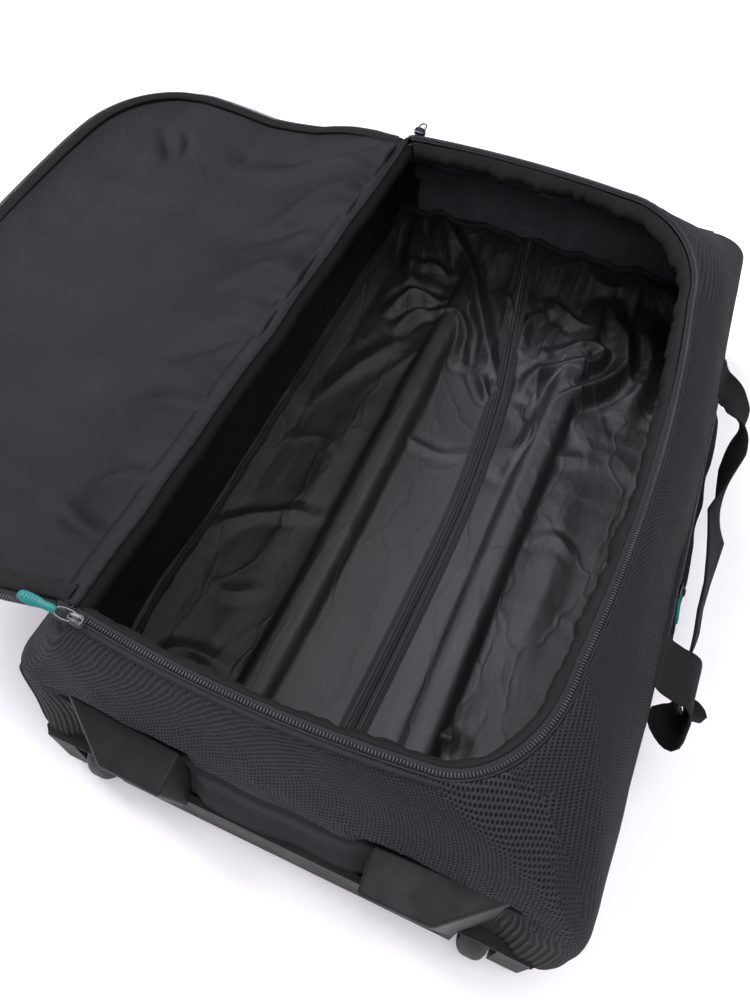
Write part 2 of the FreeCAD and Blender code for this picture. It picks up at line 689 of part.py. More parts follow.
def slider(name, label, low, size, bail):
    """A slider's top plate with the bail that its pull swings from."""
    high = [f"{start} + {length}" for start, length in zip(low, size)]
    plate = rounded(f"{name}_round", box(f"{name}_plate", low, high), 1.2, "z")
    middle = [f"{start} + {length} / 2" for start, length in zip(low, size)]
    run = "xy".index(bail)
    posts = []
    for number, shift in enumerate((-3.4, 2.2)):
        corner = [f"{middle[0]} - 1.2", f"{middle[1]} - 1.2", high[2]]
        corner[run] = f"{middle[run]} + {shift}"
        far = [f"{middle[0]} + 1.2", f"{middle[1]} + 1.2", f"{high[2]} + 3.6"]
        far[run] = f"{corner[run]} + 1.2"
        posts.append(box(f"{name}_post_{number}", corner, far))
    roof_low = [f"{middle[0]} - 1.2", f"{middle[1]} - 1.2", f"{high[2]} + 2.4"]
    roof_high = [f"{middle[0]} + 1.2", f"{middle[1]} + 1.2", f"{high[2]} + 3.6"]
    roof_low[run] = f"{middle[run]} - 3.4"
    roof_high[run] = f"{middle[run]} + 3.4"
    posts.append(box(f"{name}_roof", roof_low, roof_high))
    return keep(fuse(name, [plate] + posts), label)


def make_main_sliders():
    plate_level = "rim_level + zipper_thickness + 0.8"
    x_start = "-rim_left + slider_start"
    for label, along, bail in (("near", "-rim_near - near_slider_gap", "y"), ("far", "rim_far - far_slider_gap", "x")):
        slider(f"MainSlider_{label}", f"{label}_main_slider",
               (x_start, along, plate_level), ("slider_length", "7.4", "1.8"), bail)
    pivot_x = "-rim_left + slider_start + slider_length / 2"
    near_y = "-rim_near - near_slider_gap + 3.7"
    far_y = "rim_far - far_slider_gap + 3.7"
    ring_level = f"{plate_level} + 2.35"
    near_ring = body("PullRing_near")
    pad(near_ring, "near_ring_plate", "XY_Plane",
        rectangle(f"{pivot_x} - 18", f"{pivot_x} - pull_eye", f"{near_y} - 1.9", f"{near_y} + 1.9"),
        ring_level, "1.2")
    keep(near_ring, "near_ring_pull")
    far_ring = body("PullRing_far")
    pad(far_ring, "far_ring_plate", "XY_Plane",
        rectangle(f"{pivot_x} - 1.9", f"{pivot_x} + 1.9", f"{far_y} + pull_eye", f"{far_y} + 18"),
        ring_level, "1.2")
    keep(far_ring, "far_ring_pull")
    tab = rounded("TabRound", box(
        "TabBlock",
        (f"{pivot_x} - 18 - pull_length", f"{near_y} - 3.5", f"{plate_level} + 1.2"),
        (f"{pivot_x} - 18", f"{near_y} + 3.5", f"{plate_level} + 4.7")), 2.4, "z")
    keep(tab, "main_pull_tab")


def make_floor_zipper():
    """The zipper climbs a little and runs a little askew, so it is made straight and then turned."""
    near = FreeCAD.Vector(*[number_of(f"floor_zip_near{part}") for part in ("_x", "", "_level")])
    far = FreeCAD.Vector(*[number_of(f"floor_zip_far{part}") for part in ("_x", "", "_level")])
    length = (far - near).Length
    turn = FreeCAD.Rotation(FreeCAD.Vector(0, 1, 0), far - near)

    def lay(shape_object):
        shape_object.Placement = FreeCAD.Placement(near, turn)
        place(shape_object, ("floor_zip_near_x", "floor_zip_near", "floor_zip_near_level"))
        return shape_object

    tape = box("FloorTape", ("-9", "0", "0"), ("9", length, "0.8"))
    coil = box("FloorCoil", ("-2.5", "0", "0.8"), ("2.5", length, "2.4"))
    keep(lay(fuse("FloorZipper", [tape, coil])), "floor_zipper")
    start = f"{length} - floor_slider_gap - slider_length"
    lay(slider("FloorSlider", "floor_slider", ("-3.7", start, "2.8"),
               ("7.4", "slider_length", "1.8"), "x"))
    middle = f"{start} + slider_length / 2"
    pull = box("FloorPull", ("-3", f"{middle} - 30", "5.1"), ("3", f"{middle} - pull_eye", "6.3"))
    keep(lay(rounded("FloorPullRound", pull, 2, "z")), "floor_pull")


# ---------------------------------------------------------------- pocket and carry handles

def make_pocket():
    wall = "belly_half_width + 0.5"
    panel = rounded("PocketRound", box(
        "PocketBlock", (wall, "pocket_near", "pocket_bottom"),
        (f"{wall} + 5", "pocket_far", "pocket_top")), 2, "y")
    keep(panel, "side_pocket")
    shoulder = "belly_half_width - 2"
    low = "pocket_zip_level - 3"
    tape = box("PocketTape", (shoulder, "pocket_near + 20", "pocket_zip_level - 7.5"),
               (f"{shoulder} + 1", "pocket_far - 8", "pocket_zip_level + 7.5"))
    coil = box("PocketCoil", (f"{shoulder} + 1", "pocket_near + 20", low),
               (f"{shoulder} + 2.6", "pocket_far - 8", f"{low} + 5"))
    keep(fuse("PocketZipper", [tape, coil]), "pocket_zipper")
    plate = f"{shoulder} + 3"
    middle = "pocket_near + pocket_slider_start"
    runner = rounded("PocketPlateRound", box(
        "PocketPlate", (plate, f"{middle} - slider_length / 2", f"{low} - 1.2"),
        (f"{plate} + 1.8", f"{middle} + slider_length / 2", f"{low} + 6.2")), 1.2, "x")
    posts = [
        box(f"PocketPost_{number}", (f"{plate} + 1.8", f"{middle} + {shift}", f"{low} + 1.3"),
            (f"{plate} + 5.4", f"{middle} + {shift} + 1.2", f"{low} + 3.7"))
        for number, shift in enumerate((-3.4, 2.2))
    ]
    roof = box("PocketBail", (f"{plate} + 4.2", f"{middle} - 3.4", f"{low} + 1.3"),
               (f"{plate} + 5.4", f"{middle} + 3.4", f"{low} + 3.7"))
    keep(fuse("PocketSlider", [runner, roof] + posts), "pocket_slider")
    tab = box("PocketTab", (f"{plate} + 2.2", f"{middle} - 2.8", f"{low} + 2.5 - pull_length"),
              (f"{plate} + 3.8", f"{middle} + 2.8", f"{low} + 2.5 - pull_eye"))
    keep(rounded("PocketTabRound", tab, 2, "x"), "pocket_pull_tab")


def make_carry_handles():
    """Flat webbing: two legs sewn to the wall, joined by a band that stands off it."""
    for side, sign in SIDES:
        def span(inner, outer):
            return (inner, outer) if sign > 0 else (f"-({outer})", f"-({inner})")
        leg_left, leg_right = span("belly_half_width + 0.5", "strap_reach")
        band_left, band_right = span("strap_reach - webbing_thickness", "strap_reach")
        pieces = []
        for end, near_edge in (("near", "strap_near"), ("far", "strap_far - webbing_width")):
            pieces.append(box(
                f"StrapLeg_{side}_{end}", (leg_left, near_edge, "strap_level"),
                (leg_right, f"{near_edge} + webbing_width", "strap_level + webbing_thickness")))
        pieces.append(box(
            f"StrapBand_{side}",
            (band_left, "strap_near", "strap_level + webbing_thickness - webbing_width"),
            (band_right, "strap_far", "strap_level + webbing_thickness")))
        keep(fuse(f"Strap_{side}", pieces), f"{side}_carry_handle")
    wall = "base_half_length + 1"
    ends = [
        box(f"GrabEnd_{number}", (left, wall, "108"), (right, "base_half_length + 14", "111"))
        for number, (left, right) in enumerate((("-72", "-40"), ("40", "72")))
    ]
    bar = box("GrabBar", ("-72", "base_half_length + 11", "86"),
              ("72", "base_half_length + 14", "111"))
    roots = [
        box(f"GrabRoot_{number}", (left, "base_half_length - 5.5", "108"), (right, wall, "111"))
        for number, (left, right) in enumerate((("-72", "-40"), ("40", "72")))
    ]
    keep(fuse("GrabHandle", ends + roots + [bar]), "end_grab_handle")


def make_screws():
    """Screws that hold the carriage's sole plate to the base."""
    screws = []
    for number, across in enumerate(("-120", "-40", "40", "120")):
        head = cylinder(f"ScrewHead_{number}", "4.5", "2.2",
                        (across, "-352", "base_underside - 8.3"), "z")
        screws.append(head)
    keep(group("CarriageScrews", screws), "carriage_screws")


def check_objects():
    for item in document.Objects:
        faults = {"Invalid", "Error"} & set(item.State)
        if faults:
            raise SystemExit(f"{item.Name} failed: {item.State}")
    for item in nodes:
        if item.Shape.isNull() or not item.Shape.isValid():
            raise SystemExit(f"{item.Label} has no valid shape")


make_bag_shell()
make_base()
make_floor_lining()
make_tubes()
make_handle_supports()
make_mid_bridge()
make_grip()
make_carriage()
make_hoods()
make_wheels()
make_runners()
make_lid()
make_body_zipper()
make_main_sliders()
make_floor_zipper()
make_pocket()
make_carry_handles()
make_screws()
document.recompute()
check_objects()

os.makedirs("parts", exist_ok=True)
for item in nodes:
    item.Shape.exportStep(f"parts/{item.Label}.step")
    extent = item.Shape.BoundBox
    spans = [(extent.XMin, extent.XMax), (extent.YMin, extent.YMax), (extent.ZMin, extent.ZMax)]
    print(item.Label, len(item.Shape.Solids), [f"{low:.1f}..{high:.1f}" for low, high in spans],
          f"{item.Shape.Volume / 1000:.1f} cm3")
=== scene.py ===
import math

import bmesh
import bpy
import numpy as np
from mathutils import Matrix, Vector, noise


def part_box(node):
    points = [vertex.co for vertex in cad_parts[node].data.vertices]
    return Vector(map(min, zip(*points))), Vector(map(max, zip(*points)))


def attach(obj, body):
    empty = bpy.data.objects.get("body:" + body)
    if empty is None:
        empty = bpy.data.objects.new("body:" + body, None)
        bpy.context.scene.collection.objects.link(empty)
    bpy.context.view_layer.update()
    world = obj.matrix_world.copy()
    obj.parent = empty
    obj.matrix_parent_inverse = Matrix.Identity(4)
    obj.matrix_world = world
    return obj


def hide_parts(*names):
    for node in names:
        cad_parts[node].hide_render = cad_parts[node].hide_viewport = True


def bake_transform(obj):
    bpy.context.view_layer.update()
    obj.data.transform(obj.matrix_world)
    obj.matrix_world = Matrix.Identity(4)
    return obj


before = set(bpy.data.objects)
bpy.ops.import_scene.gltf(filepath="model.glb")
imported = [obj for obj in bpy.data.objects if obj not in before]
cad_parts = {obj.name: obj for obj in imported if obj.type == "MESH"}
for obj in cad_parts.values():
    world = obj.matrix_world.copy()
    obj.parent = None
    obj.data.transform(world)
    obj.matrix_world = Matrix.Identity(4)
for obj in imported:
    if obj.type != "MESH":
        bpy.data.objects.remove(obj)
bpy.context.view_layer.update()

# Rolling duffel bag, lying on its back with its lid open. Metres, in the CAD frame: X across the
# bag with the lid hinge on the -X side, +Y to the handle end, +Z up from the ground.

MM = 0.001
RIM = 0.2552            # height of the zipper teeth round the mouth
FLOOR = 0.0535          # height of the floor lining between the handle tubes
HINGE_X = -0.168         # line that the lid turns about
CLOTH = 0.0009          # thickness of the lining and of the zipper tapes
SIDE = 44               # columns of points along each side of the bag's outline
CORNER = 14             # columns of points round each corner
RING = 4 * (SIDE + CORNER)


# ---------------------------------------------------------------- small tools

def smooth_step(low, high, value):
    """0 up to low, 1 from high on, and a smooth change between them."""
    t = np.clip((np.asarray(value, float) - low) / (high - low), 0, 1)
    return t * t * (3 - 2 * t)


def soft_noise(points, size, seed=0.0):
    """Smooth noise of about -1 to 1 at each point, size being the width of one ripple."""
    flat = np.asarray(points, float).reshape(-1, 3) / size
    shift = Vector((seed * 13.7, seed * 5.3, seed * 9.1))
    values = [noise.noise(Vector(p) + shift) for p in flat]
    return np.array(values).reshape(np.asarray(points).shape[:-1]) * 1.6


def ring_faces(rings, count, start=0):
    """The faces of a closed solid whose points are rings of the same count, one after another."""
    faces = []
    for ring in range(rings - 1):
        low = start + ring * count
        for k in range(count):
            after = (k + 1) % count
            faces.append([low + k, low + after, low + count + after, low + count + k])
    faces.append([start + k for k in range(count)][::-1])
    faces.append([start + (rings - 1) * count + k for k in range(count)])
    return faces


def new_object(name, vertices, faces, material, smooth=True):
    data = bpy.data.meshes.new(name)
    data.from_pydata([tuple(map(float, v)) for v in vertices], [], faces)
    data.update()
    data.polygons.foreach_set("use_smooth", [smooth] * len(data.polygons))
    piece = bpy.data.objects.new(name, data)
    bpy.context.scene.collection.objects.link(piece)
    if material is not None:
        data.materials.append(material)
    return piece


def grid_piece(name, points, material, loop=False, flip=False, anchors=None):
    """A sheet through a grid of points, with its cloth coordinates in metres.

    anchors gives, for each column, the column that its crosswise coordinate is measured from.
    """
    points = np.asarray(points, float)
    rows, columns = points.shape[:2]
    across = np.zeros((rows, columns + 1))
    ring = np.concatenate([points, points[:, :1]], axis=1)
    across[:, 1:] = np.cumsum(np.linalg.norm(np.diff(ring, axis=1), axis=2), axis=1)
    down = np.zeros((rows, columns + 1))
    down[1:] = np.cumsum(np.linalg.norm(np.diff(ring, axis=0), axis=2), axis=0)
    faces = []
    corners = []
    last = columns if loop else columns - 1
    for row in range(rows - 1):
        for column in range(last):
            beside = (column + 1) % columns
            quad = [(row, column, column), (row, beside, column + 1),
                    (row + 1, beside, column + 1), (row + 1, column, column)]
            if flip:
                quad.reverse()
            faces.append([r * columns + c for r, c, _ in quad])
            for r, _, reach in quad:
                start = across[r, anchors[column]] if anchors is not None else 0.0
                if anchors is not None and anchors[column] < SIDE and column > columns // 2:
                    start += across[r, -1]
                corners.append((across[r, reach] - start, down[r, reach]))
    piece = new_object(name, points.reshape(-1, 3), faces, material)
    layer = piece.data.uv_layers.new(name="cloth")
    layer.data.foreach_set("uv", np.array(corners, np.float32).ravel())
    return piece


def thicken(piece, thickness, offset=-1.0):
    """Gives a sheet its real thickness and closes its edges."""
    solid = piece.modifiers.new("thickness", "SOLIDIFY")
    solid.thickness = thickness
    solid.offset = offset
    return piece


def settle(piece):
    """Applies the modifiers, so that the mesh is final."""
    graph = bpy.context.evaluated_depsgraph_get()
    graph.update()
    data = bpy.data.meshes.new_from_object(piece.evaluated_get(graph))
    piece.modifiers.clear()
    piece.data = data
    return piece


def finish_piece(piece, body, replaced=()):
    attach(piece, body)
    if replaced:
        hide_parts(*replaced)
    return piece


def resample(points, count, closed=False):
    """Evenly spaced points along a polyline."""
    points = np.asarray(points, float)
    if closed:
        points = np.concatenate([points, points[:1]])
    travelled = np.concatenate([[0], np.cumsum(np.linalg.norm(np.diff(points, axis=0), axis=1))])
    wanted = np.linspace(0, travelled[-1], count + 1 if closed else count)
    if closed:
        wanted = wanted[:-1]
    return np.stack([np.interp(wanted, travelled, points[:, k]) for k in range(3)], axis=1)


def smooth_curve(points, count):
    """Evenly spaced points on a smooth curve through a few chosen points."""
    points = np.asarray(points, float)
    padded = np.concatenate([[2 * points[0] - points[1]], points, [2 * points[-1] - points[-2]]])
    pieces = []
    for index in range(1, len(padded) - 2):
        p0, p1, p2, p3 = padded[index - 1:index + 3]
        t = np.linspace(0, 1, 24, endpoint=False)[:, None]
        pieces.append(0.5 * (2 * p1 + (p2 - p0) * t + (2 * p0 - 5 * p1 + 4 * p2 - p3) * t ** 2
                             + (3 * p1 - p0 - 3 * p2 + p3) * t ** 3))
    pieces.append(points[-1:])
    return resample(np.concatenate(pieces), count)


def frames_along(path, up=(0, 0, 1), closed=False):
    """Unit tangents, sideways directions and normals along a path."""
    path = np.asarray(path, float)
    if closed:
        tangent = np.roll(path, -1, axis=0) - np.roll(path, 1, axis=0)
    else:
        tangent = np.gradient(path, axis=0)
    tangent /= np.linalg.norm(tangent, axis=1, keepdims=True)
    up = np.broadcast_to(np.asarray(up, float), path.shape)
    side = np.cross(tangent, up)
    side /= np.linalg.norm(side, axis=1, keepdims=True)
    normal = np.cross(side, tangent)
    return tangent, side, normal


def band_piece(name, path, half_width, thickness, material, up=(0, 0, 1), closed=False,
               round_edge=True):
    """A flat strip along a path, with a closed, slightly rounded section."""
    _, side, normal = frames_along(path, up, closed)
    edge = thickness / 2
    if round_edge:
        section = [(-1, 0, 0), (-1, edge, 0.55), (0, 0, 1), (1, -edge, 0.55),
                   (1, 0, 0), (1, -edge, -0.55), (0, 0, -1), (-1, edge, -0.55)]
    else:
        section = [(-1, 0, 1), (1, 0, 1), (1, 0, -1), (-1, 0, -1)]
    rows = []
    half = np.broadcast_to(np.asarray(half_width, float), (len(path),))[:, None]
    for across, inset, height in section:
        rows.append(path + side * (across * half + inset) + normal * (height * edge))
    points = np.stack(rows, axis=0)
    if closed:
        return grid_piece(name, np.concatenate([points, points[:1]]), material, loop=True)
    piece = grid_piece(name, np.concatenate([points, points[:1]]), material)
    return cap_ends(piece, len(section), len(path))


def cap_ends(piece, around, along):
    """Closes the two ends of a strip or tube whose section is a ring of points."""
    data = piece.data
    vertices = [tuple(v.co) for v in data.vertices][:around * along]
    faces = []
    for row in range(around):
        below = (row + 1) % around
        for column in range(along - 1):
            faces.append([row * along + column, row * along + column + 1,
                          below * along + column + 1, below * along + column])
    start = [row * along for row in range(around)]
    end = [row * along + along - 1 for row in range(around)][::-1]
    old = [tuple(item.uv) for item in data.uv_layers["cloth"].data]
    fresh = bpy.data.meshes.new(piece.name)
    fresh.from_pydata(vertices, [], faces + [start, end])
    fresh.polygons.foreach_set("use_smooth", [True] * len(faces) + [False, False])
    layer = fresh.uv_layers.new(name="cloth")
    spare = len(layer.data) - len(old)
    layer.data.foreach_set("uv", np.array(old + [(0.0, 0.0)] * spare, np.float32).ravel())
    for material in data.materials:
        fresh.materials.append(material)
    fresh.update()
    piece.data = fresh
    return piece


def tube_piece(name, path, radius, material, around=8, closed=False, up=(0, 0, 1)):
    _, side, normal = frames_along(path, up, closed)
    angles = np.linspace(0, 2 * math.pi, around, endpoint=False)
    radius = np.broadcast_to(np.asarray(radius, float), (len(path),))[:, None]
    rows = [path + (side * math.cos(a) + normal * math.sin(a)) * radius for a in angles]
    points = np.stack(rows + rows[:1], axis=0)
    piece = grid_piece(name, points, material, loop=closed)
    return piece if closed else cap_ends(piece, around, len(path))


def join_meshes(name, pieces):
    """One piece from several, keeping their material slots."""
    bpy.context.view_layer.update()
    for item in pieces:
        settle(item)
    with bpy.context.temp_override(active_object=pieces[0], selected_editable_objects=pieces,
                                   selected_objects=pieces):
        bpy.ops.object.join()
    pieces[0].name = name
    pieces[0].data.name = name
    return pieces[0]


# ---------------------------------------------------------------- materials

def principled(name, colour, roughness, metallic=0.0):
    material = bpy.data.materials.new(name)
    material.use_nodes = True
    shader = material.node_tree.nodes["Principled BSDF"]
    shader.inputs["Base Color"].default_value = (*colour, 1)
    shader.inputs["Roughness"].default_value = roughness
    shader.inputs["Metallic"].default_value = metallic
    return material, material.node_tree, shader


def add(tree, kind, **settings):
    """A new node, with its inputs and properties set by name."""
    node = tree.nodes.new(kind)
    for key, value in settings.items():
        if key in node.inputs:
            node.inputs[key].default_value = value
        else:
            setattr(node, key, value)
    return node


def link(tree, source, target):
    tree.links.new(source, target)


def maths(tree, operation, first, second=None):
    """The result of a sum on two sockets or numbers."""
    node = add(tree, "ShaderNodeMath", operation=operation)
    for socket, value in zip(node.inputs, (first, second)):
        if value is None:
            continue
        if isinstance(value, (int, float)):
            socket.default_value = value
        else:
            link(tree, value, socket)
    return node.outputs[0]


def cloth_coordinates(tree, turn=0.0):
    """The cloth's own two coordinates, in millimetres."""
    source = add(tree, "ShaderNodeUVMap", uv_map="cloth")
    mapping = add(tree, "ShaderNodeMapping", Scale=(1000, 1000, 1000), Rotation=(0, 0, turn))
    link(tree, source.outputs[0], mapping.inputs[0])
    parts = tree.nodes.new("ShaderNodeSeparateXYZ")
    link(tree, mapping.outputs[0], parts.inputs[0])
    return mapping.outputs[0], parts.outputs[0], parts.outputs[1]


def object_coordinates(tree, scale=1000.0):
    source = tree.nodes.new("ShaderNodeTexCoord")
    mapping = add(tree, "ShaderNodeMapping", Scale=(scale, scale, scale))
    link(tree, source.outputs["Object"], mapping.inputs[0])
    return mapping.outputs[0]


def ramp(tree, value, low, high, dark, light):
    """Maps a value from low..high to a colour between dark and light."""
    node = tree.nodes.new("ShaderNodeValToRGB")
    node.color_ramp.elements[0].position = low
    node.color_ramp.elements[0].color = (*dark, 1)
    node.color_ramp.elements[1].position = high
    node.color_ramp.elements[1].color = (*light, 1)
    link(tree, value, node.inputs[0])
    return node.outputs[0]


def spread(tree, value, low, high, to_low, to_high):
    """Maps a value from low..high to to_low..to_high."""
    node = tree.nodes.new("ShaderNodeMapRange")
    for socket, number in zip(list(node.inputs)[1:5], (low, high, to_low, to_high)):
        socket.default_value = number
    link(tree, value, node.inputs[0])
    return node.outputs[0]


def bump(tree, shader, height, distance, strength=1.0, before=None):
    """Gives the shader a relief of some depth in metres, on top of an earlier one."""
    node = add(tree, "ShaderNodeBump", Strength=strength, Distance=distance)
    link(tree, height, node.inputs["Height"])
    if before is not None:
        link(tree, before, node.inputs["Normal"])
    link(tree, node.outputs[0], shader.inputs["Normal"])
    return node.outputs[0]


def noise_texture(tree, vector, scale, detail=3.0, roughness=0.5, distortion=0.0):
    node = add(tree, "ShaderNodeTexNoise", Scale=scale, Detail=detail, Roughness=roughness,
               Distortion=distortion)
    link(tree, vector, node.inputs["Vector"])
    return node.outputs["Fac"]


def wave(tree, value, pitch, shift=0.0):
    """A sine of -1 to 1 with the given pitch in millimetres."""
    turned = maths(tree, "MULTIPLY", value, 2 * math.pi / pitch)
    if shift:
        turned = maths(tree, "ADD", turned, shift)
    return maths(tree, "SINE", turned)


def weave_material(name, dark, light, pitch, depth, roughness=0.82, turn=0.0, kind="plain",
                   sheen=0.006, blotch=0.12):
    """Woven cloth: threads that pass over and under each other, in the cloth's own millimetres.

    dark and light are the colours between and on the threads, and blotch is how much broad
    patches count.
    """
    material, tree, shader = principled(name, light, roughness)
    vector, across, along = cloth_coordinates(tree, turn)
    if kind == "rib":
        height = wave(tree, across, pitch)
    elif kind == "honeycomb":
        slant = maths(tree, "MULTIPLY", along, 0.866 * 0.8)
        half = maths(tree, "MULTIPLY", across, 0.5)
        first = wave(tree, across, pitch, math.pi / 2)
        second = wave(tree, maths(tree, "SUBTRACT", slant, half), pitch, math.pi / 2)
        third = wave(tree, maths(tree, "ADD", slant, half), pitch, math.pi / 2)
        total = maths(tree, "ADD", maths(tree, "ADD", first, second), third)
        height = maths(tree, "MULTIPLY", total, -0.5)
    else:
        warp = wave(tree, across, pitch)
        weft = wave(tree, along, pitch)
        height = maths(tree, "MULTIPLY", warp, weft)
    fuzz = maths(tree, "MULTIPLY", noise_texture(tree, vector, 0.9, 2.0), 0.5)
    cells = maths(tree, "ADD", height, fuzz)
    low, high = (-1.0, 0.55) if kind == "honeycomb" else (-1.0, 1.6)
    shade = spread(tree, cells, low, high, 0.0, 1.0)
    patches = noise_texture(tree, vector, 0.02, 4.0, 0.6)
    shade = maths(tree, "ADD", maths(tree, "MULTIPLY", shade, 1 - blotch),
                  maths(tree, "MULTIPLY", patches, blotch))
    colour = ramp(tree, shade, 0.05, 0.9, dark, light)
    link(tree, colour, shader.inputs["Base Color"])
    rough = spread(tree, shade, 0.0, 1.0, roughness + 0.1, roughness - 0.08)
    link(tree, rough, shader.inputs["Roughness"])
    shader.inputs["Sheen Weight"].default_value = sheen
    shader.inputs["Sheen Roughness"].default_value = 0.5
    shader.inputs["Specular IOR Level"].default_value = 0.13
    bump(tree, shader, cells, depth)
    return material


def lining_material(name, dark, light, roughness, crinkle=0.0016, grain=0.00006, gloss=0.5):
    """Smooth coated nylon: small creases over a fine, barely visible weave."""
    material, tree, shader = principled(name, light, roughness)
    vector, across, along = cloth_coordinates(tree)
    stretched = add(tree, "ShaderNodeMapping", Scale=(1.0, 0.35, 1.0))
    link(tree, vector, stretched.inputs[0])
    creases = noise_texture(tree, stretched.outputs[0], 0.035, 5.0, 0.55, 0.6)
    sharp = maths(tree, "ABSOLUTE", maths(tree, "SUBTRACT", creases, 0.5))
    cells = add(tree, "ShaderNodeTexVoronoi", feature="DISTANCE_TO_EDGE", Scale=0.020)
    wobble = add(tree, "ShaderNodeVectorMath", operation="ADD")
    swing = add(tree, "ShaderNodeTexNoise", Scale=0.02)
    larger = add(tree, "ShaderNodeVectorMath", operation="SCALE", Scale=26.0)
    link(tree, vector, swing.inputs["Vector"])
    link(tree, swing.outputs["Color"], larger.inputs[0])
    link(tree, stretched.outputs[0], wobble.inputs[0])
    link(tree, larger.outputs[0], wobble.inputs[1])
    link(tree, wobble.outputs[0], cells.inputs["Vector"])
    pressed = spread(tree, cells.outputs["Distance"], 0.0, 0.05, 0.22, 0.0)
    folds = maths(tree, "ADD", maths(tree, "SUBTRACT", 0.5, sharp), pressed)
    fine = maths(tree, "MULTIPLY", wave(tree, across, 0.8), wave(tree, along, 0.8))
    patches = noise_texture(tree, vector, 0.012, 3.0)
    colour = ramp(tree, patches, 0.3, 0.7, dark, light)
    link(tree, colour, shader.inputs["Base Color"])
    rough = spread(tree, creases, 0.3, 0.7, roughness - 0.05, roughness + 0.08)
    link(tree, rough, shader.inputs["Roughness"])
    shader.inputs["Specular IOR Level"].default_value = gloss
    first = bump(tree, shader, folds, crinkle)
    bump(tree, shader, fine, grain, before=first)
    return material


def plastic_material(name, colour, roughness, grain):
    """Moulded plastic with a fine spark-eroded texture, rubbed a little smoother in patches."""
    material, tree, shader = principled(name, colour, roughness)
    vector = object_coordinates(tree)
    texture = noise_texture(tree, vector, 1.4, 2.0, 0.6)
    wear = noise_texture(tree, vector, 0.03, 5.0, 0.65)
    lighter = [min(1.0, part * 1.35 + 0.004) for part in colour]
    tint = ramp(tree, wear, 0.42, 0.72, colour, lighter)
    link(tree, tint, shader.inputs["Base Color"])
    rough = spread(tree, wear, 0.35, 0.7, roughness + 0.05, roughness - 0.07)
    link(tree, rough, shader.inputs["Roughness"])
    shader.inputs["Specular IOR Level"].default_value = 0.2
    bump(tree, shader, texture, grain)
    return material


def metal_material(name, colour, roughness, streaks):
    """Metal with a faint grain, drawn out into streaks where it is brushed."""
    material, tree, shader = principled(name, colour, roughness, 1.0)
    vector = object_coordinates(tree)
    stretched = add(tree, "ShaderNodeMapping", Scale=(1.0, 0.05 if streaks else 1.0, 1.0))
    link(tree, vector, stretched.inputs[0])
    brushed = noise_texture(tree, stretched.outputs[0], 2.0, 3.0)
    tint = ramp(tree, brushed, 0.3, 0.75, [part * 0.75 for part in colour], colour)
    link(tree, tint, shader.inputs["Base Color"])
    rough = spread(tree, brushed, 0.3, 0.7, roughness - 0.05, roughness + 0.1)
    link(tree, rough, shader.inputs["Roughness"])
    bump(tree, shader, brushed, 0.00002)
    return material


# Woven cloths: name, dark and light colour, pitch in millimetres, depth in metres, other settings.
WEAVES = {
    "shell": ("outer_weave", (0.0055, 0.0052, 0.0063), (0.0195, 0.0185, 0.0220), 2.4, 0.0006,
              {"kind": "honeycomb"}),
    "mesh": ("mesh_dobby", (0.0028, 0.0027, 0.0032), (0.0270, 0.0255, 0.0300), 2.9, 0.0010,
             {"kind": "honeycomb", "blotch": 0.05}),
    "twill": ("fine_twill", (0.0090, 0.0086, 0.0100), (0.0210, 0.0200, 0.0235), 1.1, 0.0002,
              {"turn": 0.6}),
    "rib": ("ribbed_panel", (0.008, 0.008, 0.009), (0.030, 0.030, 0.033), 5.0, 0.0012,
            {"kind": "rib"}),
    "webbing": ("webbing_weave", (0.006, 0.006, 0.0065), (0.020, 0.020, 0.022), 2.4, 0.0006,
                {"kind": "rib"}),
    "tape": ("zipper_tape", (0.014, 0.014, 0.015), (0.040, 0.040, 0.043), 1.0, 0.0002, {}),
    "binding": ("velvet_binding", (0.005, 0.0048, 0.005), (0.023, 0.0218, 0.0225), 1.6, 0.0009,
                {"roughness": 0.95, "sheen": 0.03, "blotch": 0.4}),
}

# Coated linings: name, dark and light colour, roughness, other settings.
LININGS = {
    "lining": ("lining_nylon", (0.009, 0.0087, 0.010), (0.015, 0.0145, 0.016), 0.35,
               {"gloss": 0.37}),
    # A much lighter copy of the lining for the far wall: painted light, standing in for light that
    # the lamps leave out of that shaded wall.
    "far_wall_painted_light_lining": ("lining_nylon_painted_lighter", (0.034, 0.0325, 0.038), (0.062, 0.059, 0.068), 0.36,
                   {"gloss": 0.6}),
    "lid_lining": ("lid_lining_nylon", (0.0055, 0.0050, 0.0064), (0.0086, 0.0081, 0.0097), 0.50,
                   {"crinkle": 0.0007, "gloss": 0.13}),
}

# Moulded materials: name, colour, roughness, and the depth of their grain in metres.
PLASTICS = {
    "plastic": ("moulded_black", (0.0055, 0.0053, 0.006), 0.6, 0.00012),
    "hood": ("hood_black", (0.0065, 0.0062, 0.0071), 0.52, 0.00012),
    "grip": ("grip_black", (0.014, 0.014, 0.015), 0.4, 0.00012),
    "button": ("button_grey", (0.09, 0.09, 0.095), 0.35, 0.00012),
    "tyre": ("tyre_rubber", (0.018, 0.018, 0.019), 0.55, 0.0002),
    "hub": ("hub_grey", (0.10, 0.10, 0.105), 0.5, 0.00012),
    "board": ("board_black", (0.02, 0.02, 0.02), 0.6, 0.00012),
    "coil": ("coil_nylon", (0.032, 0.031, 0.035), 0.26, 0.00005),
    "teal": ("teal_rubber", (0.006, 0.115, 0.102), 0.42, 0.0001),
    "foam": ("grey_foam", (0.12, 0.12, 0.12), 0.9, 0.0006),
}

# Metals: name, colour, roughness, and whether they are brushed.
METALS = {
    "gunmetal": ("gunmetal", (0.085, 0.082, 0.092), 0.3, False),
    "tube": ("dark_anodised", (0.16, 0.16, 0.165), 0.35, True),
    "steel": ("plain_steel", (0.5, 0.5, 0.5), 0.35, False),
}

